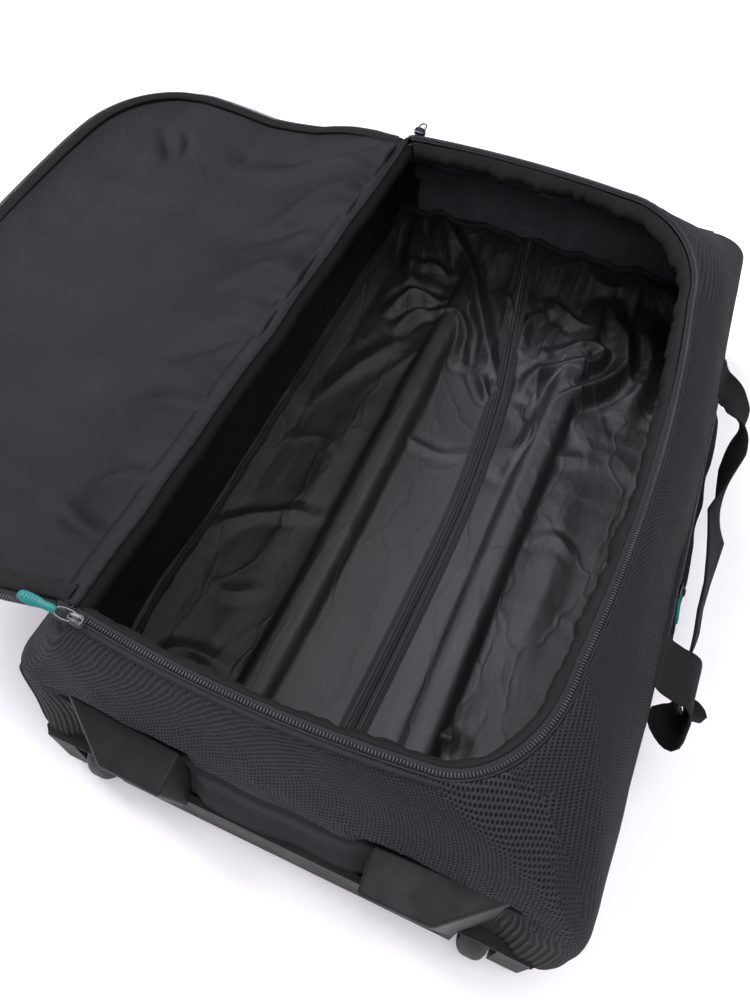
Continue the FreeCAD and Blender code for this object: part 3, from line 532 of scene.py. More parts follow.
MATERIALS = {key: weave_material(*row[:-1], **row[-1]) for key, row in WEAVES.items()}
MATERIALS |= {key: lining_material(*row[:-1], **row[-1]) for key, row in LININGS.items()}
MATERIALS |= {key: plastic_material(*row) for key, row in PLASTICS.items()}
MATERIALS |= {key: metal_material(*row) for key, row in METALS.items()}


def sheet_piece(name, points, material, thickness, body, replaced=(), offset=0.0):
    """A sheet of cloth through a grid of points, with its real thickness."""
    piece = grid_piece(name, points, MATERIALS[material])
    thicken(piece, thickness, offset)
    settle(piece)
    return finish_piece(piece, body, replaced)


# ---------------------------------------------------------------- the bag's own outline

def outline(left, right, near, far, corners, bows, taper=0.0):
    """A closed ring of points: a rectangle with oval corners and slightly bowed sides.

    corners holds (across, along) for the near right, far right, far left and near left corner, and
    bows the swelling of the near, right, far and left side. taper draws the far right in.
    """
    nr, fr, fl, nl = corners
    spots = [(left + nl[0], near), (right - nr[0], near), (right, near + nr[1]),
             (right, far - fr[1]), (right - fr[0], far), (left + fl[0], far),
             (left, far - fl[1]), (left, near + nl[1])]
    outward = [(0, -1), (1, 0), (0, 1), (-1, 0)]
    ring = []
    for side in range(4):
        start = np.array(spots[2 * side])
        end = np.array(spots[2 * side + 1])
        t = np.linspace(0, 1, SIDE, endpoint=False)[:, None]
        swell = bows[side] * (1 - (2 * t - 1) ** 2)
        ring.append(start + (end - start) * t + swell * np.array(outward[side]))
        after = np.array(spots[(2 * side + 2) % 8])
        angle = np.linspace(0, math.pi / 2, CORNER, endpoint=False)[:, None]
        if side % 2 == 0:
            centre = np.array([end[0], after[1]])
        else:
            centre = np.array([after[0], end[1]])
        ring.append(centre + (end - centre) * np.cos(angle) + (after - centre) * np.sin(angle))
    ring = np.concatenate(ring)
    lean = np.clip(ring[:, 0] / 0.2, 0, 1) * taper
    ring[:, 0] -= lean * np.maximum(ring[:, 1] + 0.1, -0.12) / 0.3
    return ring


# Level, left, right, near, far, the four corners (across, along), the four bows, taper.
SECTIONS = [
    (0.019, -0.206, 0.206, -0.380, 0.380, (0.022,) * 8, (0.002, 0.002, 0.002, 0.002), 0.0),
    (0.024, -0.214, 0.214, -0.388, 0.388, (0.024,) * 8, (0.003, 0.003, 0.003, 0.003), 0.001),
    (0.036, -0.219, 0.220, -0.3945, 0.392, (0.026,) * 8, (0.003, 0.003, 0.003, 0.003), 0.003),
    (0.070, -0.224, 0.2295, -0.3955, 0.394,
     (0.014, 0.016, 0.024, 0.024, 0.026, 0.026, 0.016, 0.018), (0.003, 0.003, 0.004, 0.003), 0.006),
    (0.120, -0.226, 0.2315, -0.390, 0.388, (0.012, 0.014, 0.024, 0.026, 0.028, 0.030, 0.020, 0.022),
     (0.003, 0.003, 0.006, 0.003), 0.008),
    (0.165, -0.226, 0.2250, -0.384, 0.368, (0.017, 0.019, 0.026, 0.028, 0.036, 0.040, 0.018, 0.020),
     (0.002, 0.003, 0.006, 0.002), 0.009),
    (0.200, -0.205, 0.214, -0.375, 0.322, (0.032, 0.040, 0.055, 0.070, 0.038, 0.045, 0.018, 0.020),
     (0.002, 0.004, 0.006, 0.003), 0.008),
    (0.228, -0.187, 0.198, -0.366, 0.287, (0.050, 0.064, 0.080, 0.095, 0.032, 0.040, 0.016, 0.018),
     (0.004, 0.007, 0.010, 0.002), 0.005),
    (0.246, -0.175, 0.180, -0.357, 0.275, (0.068, 0.092, 0.095, 0.125, 0.020, 0.022, 0.011, 0.012),
     (0.006, 0.010, 0.012, 0.0), 0.003),
    (RIM, -0.168, 0.1655, -0.3495, 0.2670, (0.072, 0.104, 0.095, 0.130, 0.012, 0.014, 0.008, 0.008),
     (0.0075, 0.0115, 0.0070, 0.0), 0.0),
]


def section_slopes(heights, table):
    """How fast each number of the sections changes with height, without overshooting a row."""
    steps = np.diff(table, axis=0) / np.diff(heights)[:, None]
    below, above = steps[:-1], steps[1:]
    agree = below * above > 0
    total = np.where(agree, below + above, 1.0)
    inner = np.where(agree, 2 * below * above / total, 0.0)
    return np.concatenate([steps[:1], inner, steps[-1:]])


def section(level):
    """The bag's outline at a height, from the sections above and below it."""
    heights = np.array([row[0] for row in SECTIONS])
    table = np.array([[*row[1:5], *row[5], *row[6], row[7]] for row in SECTIONS])
    slopes = section_slopes(heights, table)
    row = int(np.clip(np.searchsorted(heights, level) - 1, 0, len(heights) - 2))
    gap = heights[row + 1] - heights[row]
    t = float(np.clip((level - heights[row]) / gap, 0, 1))
    values = ((1 + 2 * t) * (1 - t) ** 2 * table[row] + t * t * (3 - 2 * t) * table[row + 1]
              + gap * t * (1 - t) * ((1 - t) * slopes[row] - t * slopes[row + 1]))
    corners = [tuple(values[4 + 2 * k:6 + 2 * k]) for k in range(4)]
    ring = outline(*values[:4], corners, values[12:16], values[16])
    return np.concatenate([ring, np.full((len(ring), 1), level)], axis=1)


def side_anchors():
    """For each column of the outline, the middle of the side it belongs to."""
    columns = (np.arange(RING) + CORNER // 2) % RING
    return (columns // (SIDE + CORNER)) * (SIDE + CORNER) + SIDE // 2


ANCHORS = side_anchors()


# ---------------------------------------------------------------- outer cloth of the bag

NEAR_SEAM = 0.150       # height of the seam between the two panels of the wheel end


def wall_ring(level, inset=0.0):
    """The outline at a height, moved inwards level by an inset."""
    ring = section(level)
    flat = ring[:, :2]
    tangent = np.roll(flat, -1, axis=0) - np.roll(flat, 1, axis=0)
    tangent /= np.linalg.norm(tangent, axis=1, keepdims=True)
    normal = np.stack([tangent[:, 1], -tangent[:, 0]], axis=1)
    ring[:, :2] -= normal * inset
    return ring


def wrinkle(points, depth, size, seed, stretch=(1.0, 1.0, 0.6)):
    """Soft dents and swellings, pushed in and out level with the ground."""
    flat = points * np.array(stretch)
    shape = soft_noise(flat, size, seed) + 0.4 * soft_noise(flat, size / 2.7, seed + 3)
    outward = np.zeros(points.shape)
    outward[..., 0] = np.sign(points[..., 0]) * np.clip(np.abs(points[..., 0]) - 0.12, 0, 1)
    outward[..., 1] = np.sign(points[..., 1]) * np.clip(np.abs(points[..., 1]) - 0.25, 0, 1)
    length = np.maximum(np.linalg.norm(outward, axis=-1, keepdims=True), 1e-6)
    return points + outward / length * (shape * depth)[..., None]


def panel(spot):
    """The weave at a place on the outer cloth: 0 shell, 1 mesh, 2 twill, 3 rib."""
    if spot.y > -0.33 or abs(spot.x) > 0.2195 - max(0, spot.z - 0.165) * 0.6:
        return 0
    if spot.z > NEAR_SEAM:
        return 1
    return 3 if abs(spot.x) > 0.178 else 2


def cut_doorway(piece, inner, outer, low, high):
    """Opens a sheet where the handle tubes pass through the far wall, on both sides."""
    mesh = bmesh.new()
    mesh.from_mesh(piece.data)
    gone = []
    for face in mesh.faces:
        spot = face.calc_center_median()
        if spot.y > 0.3 and inner < abs(spot.x) < outer and low < spot.z < high:
            gone.append(face)
    bmesh.ops.delete(mesh, geom=gone, context="FACES")
    mesh.to_mesh(piece.data)
    mesh.free()


def make_bag_cloth():
    """The outer cloth: one sheet round the four walls, from the sole up to the mouth."""
    levels = np.concatenate([np.linspace(0.0190, 0.030, 5), np.linspace(0.034, 0.160, 32),
                             np.linspace(0.165, 0.2535, 34)])
    rings = np.stack([wall_ring(level) for level in levels])
    fade = smooth_step(0.03, 0.07, levels) * (1 - smooth_step(0.235, 0.252, levels))
    bent = wrinkle(rings, 0.0030, 0.11, 1.0)
    crease = wrinkle(rings, 0.0010, 0.030, 2.0)
    by_zipper = (smooth_step(0.19, 0.21, rings[..., 0])
                 * np.exp(-((rings[..., 2] - 0.175) / 0.016) ** 2))
    across = np.abs(rings[..., 0])
    by_hood = (smooth_step(0.060, 0.074, across) * smooth_step(0.200, 0.186, across)
               * smooth_step(-0.33, -0.36, rings[..., 1])
               * smooth_step(0.176, 0.164, rings[..., 2]))
    calm = np.maximum(by_zipper, by_hood)
    rings = rings + (bent + crease - 2 * rings) * (fade[:, None] * (1 - calm))[..., None]
    rings[..., 1] += 0.006 * by_hood
    tuck = 0.0035 * np.exp(-((levels - NEAR_SEAM) / 0.004) ** 2)
    hollow = 0.004 * np.exp(-((levels - 0.112) / 0.020) ** 2)
    near = smooth_step(-0.345, -0.370, rings[..., 1])
    near *= smooth_step(0.185, 0.17, np.abs(rings[..., 0]))
    rings[..., 1] += near * (tuck + hollow)[:, None]
    piece = grid_piece("bag_cloth", rings, MATERIALS["shell"], loop=True, flip=True,
                       anchors=ANCHORS)
    for name in ("mesh", "twill", "rib"):
        piece.data.materials.append(MATERIALS[name])
    piece.data.polygons.foreach_set("material_index",
                                    [panel(face.center) for face in piece.data.polygons])
    low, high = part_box("handle_housing")
    cut_doorway(piece, -1, high[0] - 0.008, low[2] + 0.0015, high[2] - 0.002)
    thicken(piece, 0.0022)
    settle(piece)
    return finish_piece(piece, "bag", ["bag_shell"])


def make_bag_base():
    """The stiff sole of the bag: rows of points from its left edge to its right edge."""
    ring = wall_ring(0.020, 0.0006)
    ring = ring[np.argsort(ring[:, 1])]
    left, right = ring[ring[:, 0] < 0], ring[ring[:, 0] > 0]
    y = np.linspace(ring[0, 1] + 0.0002, ring[-1, 1] - 0.0002, 90)
    x = np.linspace(np.interp(y, left[:, 1], left[:, 0]), np.interp(y, right[:, 1], right[:, 0]),
                    50, axis=1)
    points = np.stack([x, np.broadcast_to(y[:, None], x.shape), np.full(x.shape, 0.020)], axis=-1)
    return sheet_piece("base_cloth", points, "shell", 0.0018, "bag", offset=-1.0)


def seam(name, path, radius, material, closed=False, up=(0, 0, 1)):
    """A round cord along a path: piping, a welt or a serged edge."""
    piece = tube_piece(name, path, radius, MATERIALS[material], 8, closed, up)
    return finish_piece(piece, "bag")


def stitches(name, path, pitch, length, radius, material, offset=0.0, up=(0, 0, 1), body="bag"):
    """A row of short raised threads along a path."""
    path = np.asarray(path, float)
    total = np.linalg.norm(np.diff(path, axis=0), axis=1).sum()
    count = max(4, int(total / pitch))
    points = resample(path, count)
    tangent, side, normal = frames_along(points, up)
    points = points + side * offset
    vertices = []
    faces = []
    for spot, along, across, top in zip(points, tangent, side, normal):
        start = len(vertices)
        for reach, size, rise in ((-0.5, 0.35, -0.3), (-0.22, 1.0, 0.6), (0.22, 1.0, 0.6),
                                  (0.5, 0.35, -0.3)):
            for a, b in ((-1, 0), (0, 1), (1, 0), (0, -1)):
                vertices.append(spot + along * reach * length + across * a * size * radius
                                + top * (b * size + rise) * radius)
        faces += ring_faces(4, 4, start)
    piece = new_object(name, vertices, faces, MATERIALS[material])
    return finish_piece(piece, body)


def on_cloth(points, lift):
    """The points brought to the outer face of the bag cloth."""
    cloth = bpy.data.objects["bag_cloth"]
    moved = []
    for point in points:
        _, spot, facing, _ = cloth.closest_point_on_mesh(Vector(point))
        moved.append(spot + facing * lift)
    return np.array(moved)


def near_wall_row(across, level, inset=-0.0006):
    """The point of the wheel end nearest to a distance across the bag, at a height."""
    ring = wall_ring(level, inset)
    front = ring[ring[:, 1] < -0.3]
    spot = front[np.argmin(np.abs(front[:, 0] - across))]
    return np.array([across, spot[1], level])


def make_seams():
    """The piping and the seams between the panels of the outer cloth."""
    seam("base_piping", wall_ring(0.0235, -0.0006), 0.0022, "binding", closed=True)
    belt = wall_ring(0.052, -0.0002)
    covered = np.flatnonzero((belt[:, 1] > 0.3)
                             & (np.abs(belt[:, 0]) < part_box("handle_housing")[1][0] - 0.006))
    belt = np.roll(belt, -(covered[-1] + 1), axis=0)[:-len(covered)]
    band = band_piece("base_band_top", belt, 0.003, 0.0012, MATERIALS["tape"])
    finish_piece(band, "bag")
    x = np.linspace(-0.196, 0.196, 90)
    path = np.stack([x, -0.3855 + 0.004 * (x / 0.2) ** 4, np.full(90, NEAR_SEAM)], axis=1)
    seam("near_piping", path, 0.0022, "twill")
    stitches("near_piping_stitches", path + [0, -0.0015, -0.006], 0.004, 0.0027, 0.00035,
             "tape", up=(0, -1, 0.1))
    opposite = 2 * (SIDE + CORNER)
    for name, sign, near_column, far_column in (
            ("left", -1, RING - 6, opposite + SIDE + 7), ("right", 1, SIDE + 5, opposite - 7)):
        for end, y, column, radius in (("near", -0.7, near_column, 0.0018),
                                       ("far", 0.7, far_column, 0.0016)):
            path = [wall_ring(level, -0.0008)[column] for level in np.linspace(0.045, 0.246, 60)]
            seam(f"{name}_{end}_corner_piping", path, radius, "twill", up=(0.7 * sign, y, 0))
        path = np.array([near_wall_row(sign * 0.180, level)
                         for level in np.linspace(0.045, 0.149, 14)])
        path[:, 1] += 0.0058
        seam(f"{name}_panel_piping", smooth_curve(path, 60), 0.0014, "twill", up=(0, -1, 0))
    path = [near_wall_row(0.088 + 0.010 * t, 0.246 - 0.074 * t) for t in np.linspace(0, 1, 16)]
    seam("near_panel_seam", smooth_curve(path, 60), 0.0010, "tape", up=(0, -1, 0))
    ring = wall_ring(0.172, -0.006)
    ring = ring[(ring[:, 1] > 0.3) & (np.abs(ring[:, 0]) < 0.175)]
    path = on_cloth(ring[np.argsort(ring[:, 0])], 0.0006)
    seam("far_piping", smooth_curve(path, 90), 0.0018, "twill")


# ---------------------------------------------------------------- mouth: binding, tape and teeth

def mouth_path(inset, level):
    """The open run of the mouth, from the near hinge corner round to the far hinge corner."""
    run = np.roll(wall_ring(RIM, inset), 8, axis=0)[:RING - SIDE - 12]
    run[:, 2] = level
    return resample(run, 900)


def teeth(name, path, up, width, pitch, height, material, body, replaced=()):
    """Zipper teeth: small rounded blocks set side by side along a path."""
    path = np.asarray(path, float)
    total = np.linalg.norm(np.diff(path, axis=0), axis=1).sum()
    points = resample(path, int(total / pitch))
    tangent, side, normal = frames_along(points, up)
    half = pitch * 0.27
    profile = [(-0.5, 0.0), (-0.42, 0.75), (-0.2, 1.0), (0.25, 1.0), (0.42, 0.7), (0.5, 0.0)]
    vertices = []
    faces = []
    for spot, along, across, top in zip(points, tangent, side, normal):
        start = len(vertices)
        for reach in (-1, 1):
            for a, b in profile:
                squeeze = 1.0 if b > 0 else 1.15
                vertices.append(spot + along * reach * half * squeeze * (1 - 0.25 * b)
                                + across * (a * width) + top * (b * height))
        faces += ring_faces(2, len(profile), start)
    piece = new_object(name, vertices, faces, MATERIALS[material])
    return finish_piece(piece, body, replaced)


def zipper_tape(name, inner, outer, drop, body, crown=0.0):
    """A flat tape between two paths of equal length, slightly crowned."""
    rows = []
    for t in np.linspace(0, 1, 6):
        row = inner * (1 - t) + outer * t
        row[:, 2] += crown * math.sin(math.pi * t) - drop * t * t
        rows.append(row)
    return sheet_piece(name, rows, "tape", CLOTH, body)


def make_mouth():
    """The zipper half round the mouth, and the rippled binding that hangs inside it."""
    zipper_tape("mouth_tape", mouth_path(0.0045, 0.2546), mouth_path(-0.0075, 0.2548), 0.0035,
                "bag", crown=0.0008)
    edge = mouth_path(-0.0082, 0.2520)
    stitches("mouth_tape_stitches", edge + [0, 0, 0.0010], 0.0034, 0.0024, 0.0003, "webbing")
    teeth("mouth_teeth", mouth_path(0.0, 0.2553), (0, 0, 1), 0.0040, 0.0023, 0.0018, "coil", "bag",
          ["body_zipper"])
    seam("mouth_cord", mouth_path(-0.0030, 0.2553), 0.0008, "tape")
    travel = np.zeros((900, 3))
    travel[:, 0] = np.linspace(0, 1.75, 900)
    ripple = soft_noise(travel, 0.030, 4)
    fine = soft_noise(travel, 0.009, 5)
    rows = []
    for t in np.linspace(0, 1, 13):
        row = mouth_path(0.0055 + 0.0065 * math.sin(math.pi * t * 0.72), 0.2532)
        row[:, 2] -= 0.0165 * t * (1 + 0.16 * fine)
        push = ripple * 0.0030 * t + fine * 0.0013 * math.sin(math.pi * min(t * 0.8, 1.0))
        inward = [0.0, -0.04] - row[:, :2]
        inward /= np.linalg.norm(inward, axis=1, keepdims=True)
        row[:, :2] += inward * push[:, None]
        rows.append(row)
    sheet_piece("mouth_binding", rows, "binding", 0.0016, "bag")


# ---------------------------------------------------------------- lining

# Each fold is a line of points across the floor, with its height and its half width in millimetres.
FOLDS = [
    ([(-96, 224), (-77, 229), (-55, 201), (-46, 161)], 8, 7),
    ([(-179, 383), (-102, 321), (-61, 258), (-26, 190), (7, 144)], 9, 10),
    ([(-186, 375), (-172, 316), (-147, 249)], 7, 9),
    ([(-154, 206), (-138, 240), (-101, 239)], 7, 8),
    ([(-137, 180), (-121, 213), (-96, 224)], 5, 7),
    ([(35, 149), (40, 174), (70, 203), (99, 216), (105, 243), (81, 240), (46, 208)], 7, 7),
    ([(96, 313), (128, 261), (131, 216), (100, 172), (76, 146), (63, 84), (44, 35)], 10, 10),
    ([(25, 298), (62, 272), (93, 278)], 6, 8),
    ([(-196, -177), (-184, -143), (-148, -114), (-108, -102)], 6, 8),
    ([(-182, 28), (-159, 98), (-128, 159)], 4, 10),
    ([(-76, 34), (-25, 27), (7, 38)], 2.5, 6),
    ([(-26, 159), (0, 125), (7, 136)], 5, 6),
    ([(76, 43), (97, 72), (128, 87)], 3, 8),
    ([(66, -275), (83, -266), (110, -260)], 7, 8),
    ([(-177, -298), (-153, -282), (-105, -285)], 5, 8),
    ([(-41, 285), (-16, 262), (-6, 216)], 5, 7),
    ([(30, 290), (8, 250), (12, 205)], 5, 7),
    ([(150, 310), (160, 230), (150, 160)], 5, 12),
    ([(120, 40), (135, -60), (128, -160)], 3, 14),
    ([(-140, 20), (-128, -60), (-136, -150)], 3, 14),
    ([(105, -40), (125, -25), (150, -38)], 2.5, 6),
    ([(-120, -20), (-150, -5), (-180, -22)], 2.5, 7),
    ([(-120, -200), (-150, -215), (-185, -205)], 2.5, 7),
    ([(30, -300), (22, -322), (34, -338)], 4, 6),
    ([(40, 120), (60, 90), (66, 40)], 4, 7),
    ([(-110, 290), (-140, 300), (-165, 285)], 4, 8),
]


def distance_to_line(x, y, line):
    """Distance from each point to a curve, and how far along it the nearest point is (0 to 1)."""
    line = smooth_curve([(a * MM, b * MM, 0) for a, b in line], 40)[:, :2]
    spots = np.stack([x, y], axis=-1)
    best = np.full(x.shape, 1e9)
    share = np.zeros(x.shape)
    for index in range(len(line) - 1):
        start, end = line[index], line[index + 1]
        run = end - start
        t = np.clip(((spots - start) @ run) / (run @ run), 0, 1)
        gap = np.linalg.norm(spots - (start + t[..., None] * run), axis=-1)
        closer = gap < best
        best = np.where(closer, gap, best)
        share = np.where(closer, (index + t) / (len(line) - 1), share)
    return best, share


def floor_height(x, y):
    """Height of the floor lining: ridges over the handle tubes, folds, a rise at the far end."""
    x = np.asarray(x, float)
    y = np.asarray(y, float)
    height = np.full(x.shape, FLOOR)
    for line, rise, half in FOLDS:
        gap, share = distance_to_line(x, y, line)
        fade = np.sin(math.pi * np.clip(share, 0.04, 0.96)) ** 0.5
        crest = np.exp(-np.abs(gap / (half * MM)) ** 1.6)
        valley = np.exp(-((gap - 1.9 * half * MM) / (half * MM * 0.8)) ** 2)
        strength = 1.05 + 0.45 * smooth_step(0.05, 0.15, y)
        height += rise * strength * MM * fade * (crest - 0.33 * valley)
    wild = 0.16 + 0.84 * smooth_step(0.04, 0.2, y) * smooth_step(0.20, 0.13, np.abs(x - 0.01))
    points = np.stack([x * 1.7 + y * 0.3, y * 0.8, x * 0], axis=-1)
    height += ((1 - np.abs(soft_noise(points, 0.125, 11))) ** 3 - 0.45) * 0.0062 * wild
    points = np.stack([x * 1.6 + y * 0.5, y * 0.7, x * 0], axis=-1)
    height += ((1 - np.abs(soft_noise(points, 0.055, 12))) ** 3 - 0.45) * 0.0010 * wild
    height += soft_noise(np.stack([x * 3, y * 0.6, x * 0], axis=-1), 0.10, 13) * 0.0016
    height += 0.020 * smooth_step(0.300, 0.372, y)
    height += 0.014 * smooth_step(0.180, 0.213, np.abs(x))
    height += 0.0115 * smooth_step(0.09, 0.23, y) * (1 - smooth_step(0.13, 0.20, np.abs(x)) * 0.6)
    sway = 0.004 * np.sin(y * 9.0)
    beside_tube = np.minimum(np.abs(x - sway * 0.4 - 0.078), np.abs(x + sway * 0.6 + 0.078))
    height += 0.0035 * np.exp(-(beside_tube / 0.034) ** 2) * (1 - smooth_step(0.05, 0.12, y))
    cover = 0.0530 + 0.0165 * np.exp(-(beside_tube / 0.0175) ** 4)
    short = cover - height
    return height + 0.5 * (short + np.sqrt(short ** 2 + 0.0018 ** 2))


def make_floor():
    across = np.linspace(-0.2125, 0.2125, 320)
    along = np.linspace(-0.3720, 0.3800, 560)
    x, y = np.meshgrid(across, along)
    far = smooth_step(0.32, 0.40, y)
    near = smooth_step(-0.33, -0.38, y)
    x = x * (1 - 0.02 * near - 0.03 * far)
    z = floor_height(x, y)
    points = np.stack([x, y, z], axis=-1)
    sheet_piece("floor_lining_cloth", points, "lining", CLOTH, "bag",
                ["floor_lining"], offset=-1.0)


def make_wall_lining():
    """The loose lining of the four walls, from the binding down to the floor's seam."""
    levels = np.linspace(0.2500, 0.0520, 64)
    rings = np.array([wall_ring(level, 0.007 + 0.010 * smooth_step(0.20, 0.06, level))
                      for level in levels])
    fade = np.sin(math.pi * np.linspace(0, 1, len(levels))) ** 0.5
    travel = np.linspace(0, 1, RING, endpoint=False)
    turn = 2 * math.pi * travel
    shift = []
    for level in levels:
        points = np.stack([0.36 * np.cos(turn), 0.36 * np.sin(turn), np.full(RING, 0.35 * level)],
                          axis=1)
        folds = 1 - np.abs(soft_noise(points, 0.070, 21)) * 1.4
        fine = soft_noise(points, 0.024, 22)
        shift.append((folds - 0.3) * 0.0075 + fine * 0.0014)
    shift = np.array(shift) * fade[:, None]
    far = smooth_step(0.20, 0.26, rings[..., 1])
    band = np.exp(-((levels - 0.168) / 0.006) ** 2)[:, None]
    shift += far * band * 0.006 * (1 + 0.5 * np.sin(travel * 190))[None, :]
    inward = np.zeros((*rings.shape[:2], 2))
    inward[..., 0] = -np.sign(rings[..., 0]) * np.clip(np.abs(rings[..., 0]) - 0.10, 0, 1)
    inward[..., 1] = -np.sign(rings[..., 1]) * np.clip(np.abs(rings[..., 1]) - 0.22, 0, 1)
    inward /= np.maximum(np.linalg.norm(inward, axis=-1, keepdims=True), 1e-6)
    rings[..., :2] += inward * shift[..., None]
    piece = grid_piece("wall_lining_cloth", rings, MATERIALS["lining"], loop=True)
    piece.data.materials.append(MATERIALS["far_wall_painted_light_lining"])
    # Faces of the far wall take the lighter copy of the lining: painted light on a wall that lies
    # in shade.
    piece.data.polygons.foreach_set("material_index", [
        int(face.center.y > 0.2 and face.center.x > -0.19) for face in piece.data.polygons])
    low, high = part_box("right_outer_tube")
    cut_doorway(piece, low[0] - 0.008, high[0] + 0.008, 0, high[2] + 0.004)
    thicken(piece, CLOTH, 0.0)
    settle(piece)
    finish_piece(piece, "bag")
    make_serging(rings[-3])


def make_serging(foot):
    """The bulky serged seams: where the walls meet the floor, and high on the far wall."""
    steps = np.arange(RING)
    x, y = foot[:, 0] * 0.970, foot[:, 1] * 0.978
    path = np.stack([x, y, floor_height(x, y) + 0.0015 + 0.0012 * np.sin(steps * 1.7)], axis=1)
    thick = 0.0034 + 0.0007 * np.sin(steps * 2.1) + 0.0004 * np.sin(steps * 0.7)
    thick = thick * (1 - 0.7 * smooth_step(0.17, 0.20, x) * (y < 0.34))
    rope = tube_piece("floor_edge_serging", path, thick, MATERIALS["tape"], 10, closed=True)
    finish_piece(rope, "bag")
    path = wall_ring(0.232, 0.013)
    path = path[(path[:, 1] > 0.2)]
    path = resample(path[np.argsort(path[:, 0])], 160)
    steps = np.arange(160)
    path[:, 1] -= 0.004
    path[:, 2] += 0.0016 * np.sin(steps * 0.55) + 0.001 * np.sin(steps * 1.3)
    thick = 0.0024 + 0.0006 * np.sin(steps * 2.3)
    seam("far_wall_serging", path, thick, "tape")


# ---------------------------------------------------------------- lid

LID_REACH = 0.344
LID_DROOP_ACROSS = ([0, 0.022, 0.042, 0.071, 0.110, 0.168, 0.264, 0.294, 0.317, 0.345],
                    [0, 0.002, 0.005, 0.012, 0.024, 0.030, 0.026, 0.020, 0.015, 0.012])
LID_DROOP_ALONG = ([-0.34, -0.25, -0.18, -0.03, 0.011, 0.096, 0.129, 0.177, 0.27],
                   [0.010, 0.014, 0.024, 0.030, 0.027, 0.019, 0.015, 0.012, 0.008])
LID_FOLDS = [
    ([(-428, 186), (-414, 170), (-402, 150)], -3.5, 8),
    ([(-408, 200), (-398, 186), (-392, 160)], -2.5, 6),
    ([(-176, -150), (-205, -160), (-245, -175)], 4, 12),
    ([(-176, -60), (-200, -75), (-232, -110)], -4, 10),
    ([(-176, 40), (-205, 20), (-240, 0)], 4.5, 12),
    ([(-176, 110), (-210, 95), (-260, 60)], -4, 12),
    ([(-178, 170), (-215, 140), (-240, 90)], 5, 12),
    ([(-182, 225), (-225, 200), (-290, 185)], 5, 12),
    ([(-190, 235), (-240, 225), (-330, 200)], -4, 12),
    ([(-178, -230), (-200, -240), (-225, -262)], 4, 9),
    ([(-178, -290), (-205, -285), (-240, -270)], -4, 10),
]


def lid_edges(reach):
    """The near and far end of the lid at each distance from the hinge."""
    ring = wall_ring(RIM)
    outermost = np.argmax(ring[:, 0])
    near = ring[:outermost + 1]
    far = ring[outermost:2 * (SIDE + CORNER) + SIDE]
    x = np.clip(HINGE_X + reach, ring[:, 0].min() + 0.001, ring[:, 0].max())
    order = np.argsort(far[:, 0])
    near_y = np.interp(x, near[:, 0], near[:, 1])
    far_y = np.interp(x, far[order, 0], far[order, 1])
    return near_y + 0.009 * (1 - reach / 0.4), far_y - 0.010 * np.exp(-reach / 0.05)


def lid_height(x, y):
    """Height of the open lid's lining: its sag, its folds, and the gathers along the hinge."""
    reach = np.clip(HINGE_X - x, 0, 0.346)
    weight = (reach / 0.345) ** 5
    droop = ((1 - weight) * np.interp(reach, *LID_DROOP_ACROSS)
             + weight * np.interp(y, *LID_DROOP_ALONG))
    height = RIM - 0.0008 - droop
    for line, rise, half in LID_FOLDS:
        gap, share = distance_to_line(x, y, line)
        fade = np.sin(math.pi * np.clip(share, 0.05, 0.95)) ** 0.6
        height = height + rise * 1.5 * MM * fade * np.exp(-(gap / (half * MM)) ** 2)
    near_hinge = np.exp(-reach / 0.055)
    run = np.stack([x * 0.45 + y * 0.25, y, x * 0], axis=-1)
    broad = np.stack([x, y * 0.6, x * 0], axis=-1)
    return (height + soft_noise(run, 0.060, 31) * 0.0070 * near_hinge
            + soft_noise(run, 0.018, 32) * 0.0018 * near_hinge
            + soft_noise(broad, 0.12, 33) * 0.0055 * smooth_step(0.0, 0.06, reach))


def lid_grid(rows, columns):
    """Points over the lid, closer together towards its outer edge."""
    share = np.linspace(0, 1, rows)
    reach = 0.004 + (LID_REACH - 0.004) * (0.5 * share + 0.5 * np.sin(share * math.pi / 2))
    near, far = lid_edges(reach)
    t = np.linspace(0, 1, columns)[None, :]
    y = near[:, None] * (1 - t) + far[:, None] * t
    x = np.broadcast_to((HINGE_X - reach)[:, None], y.shape)
    return np.stack([x, y, lid_height(x, y)], axis=-1)


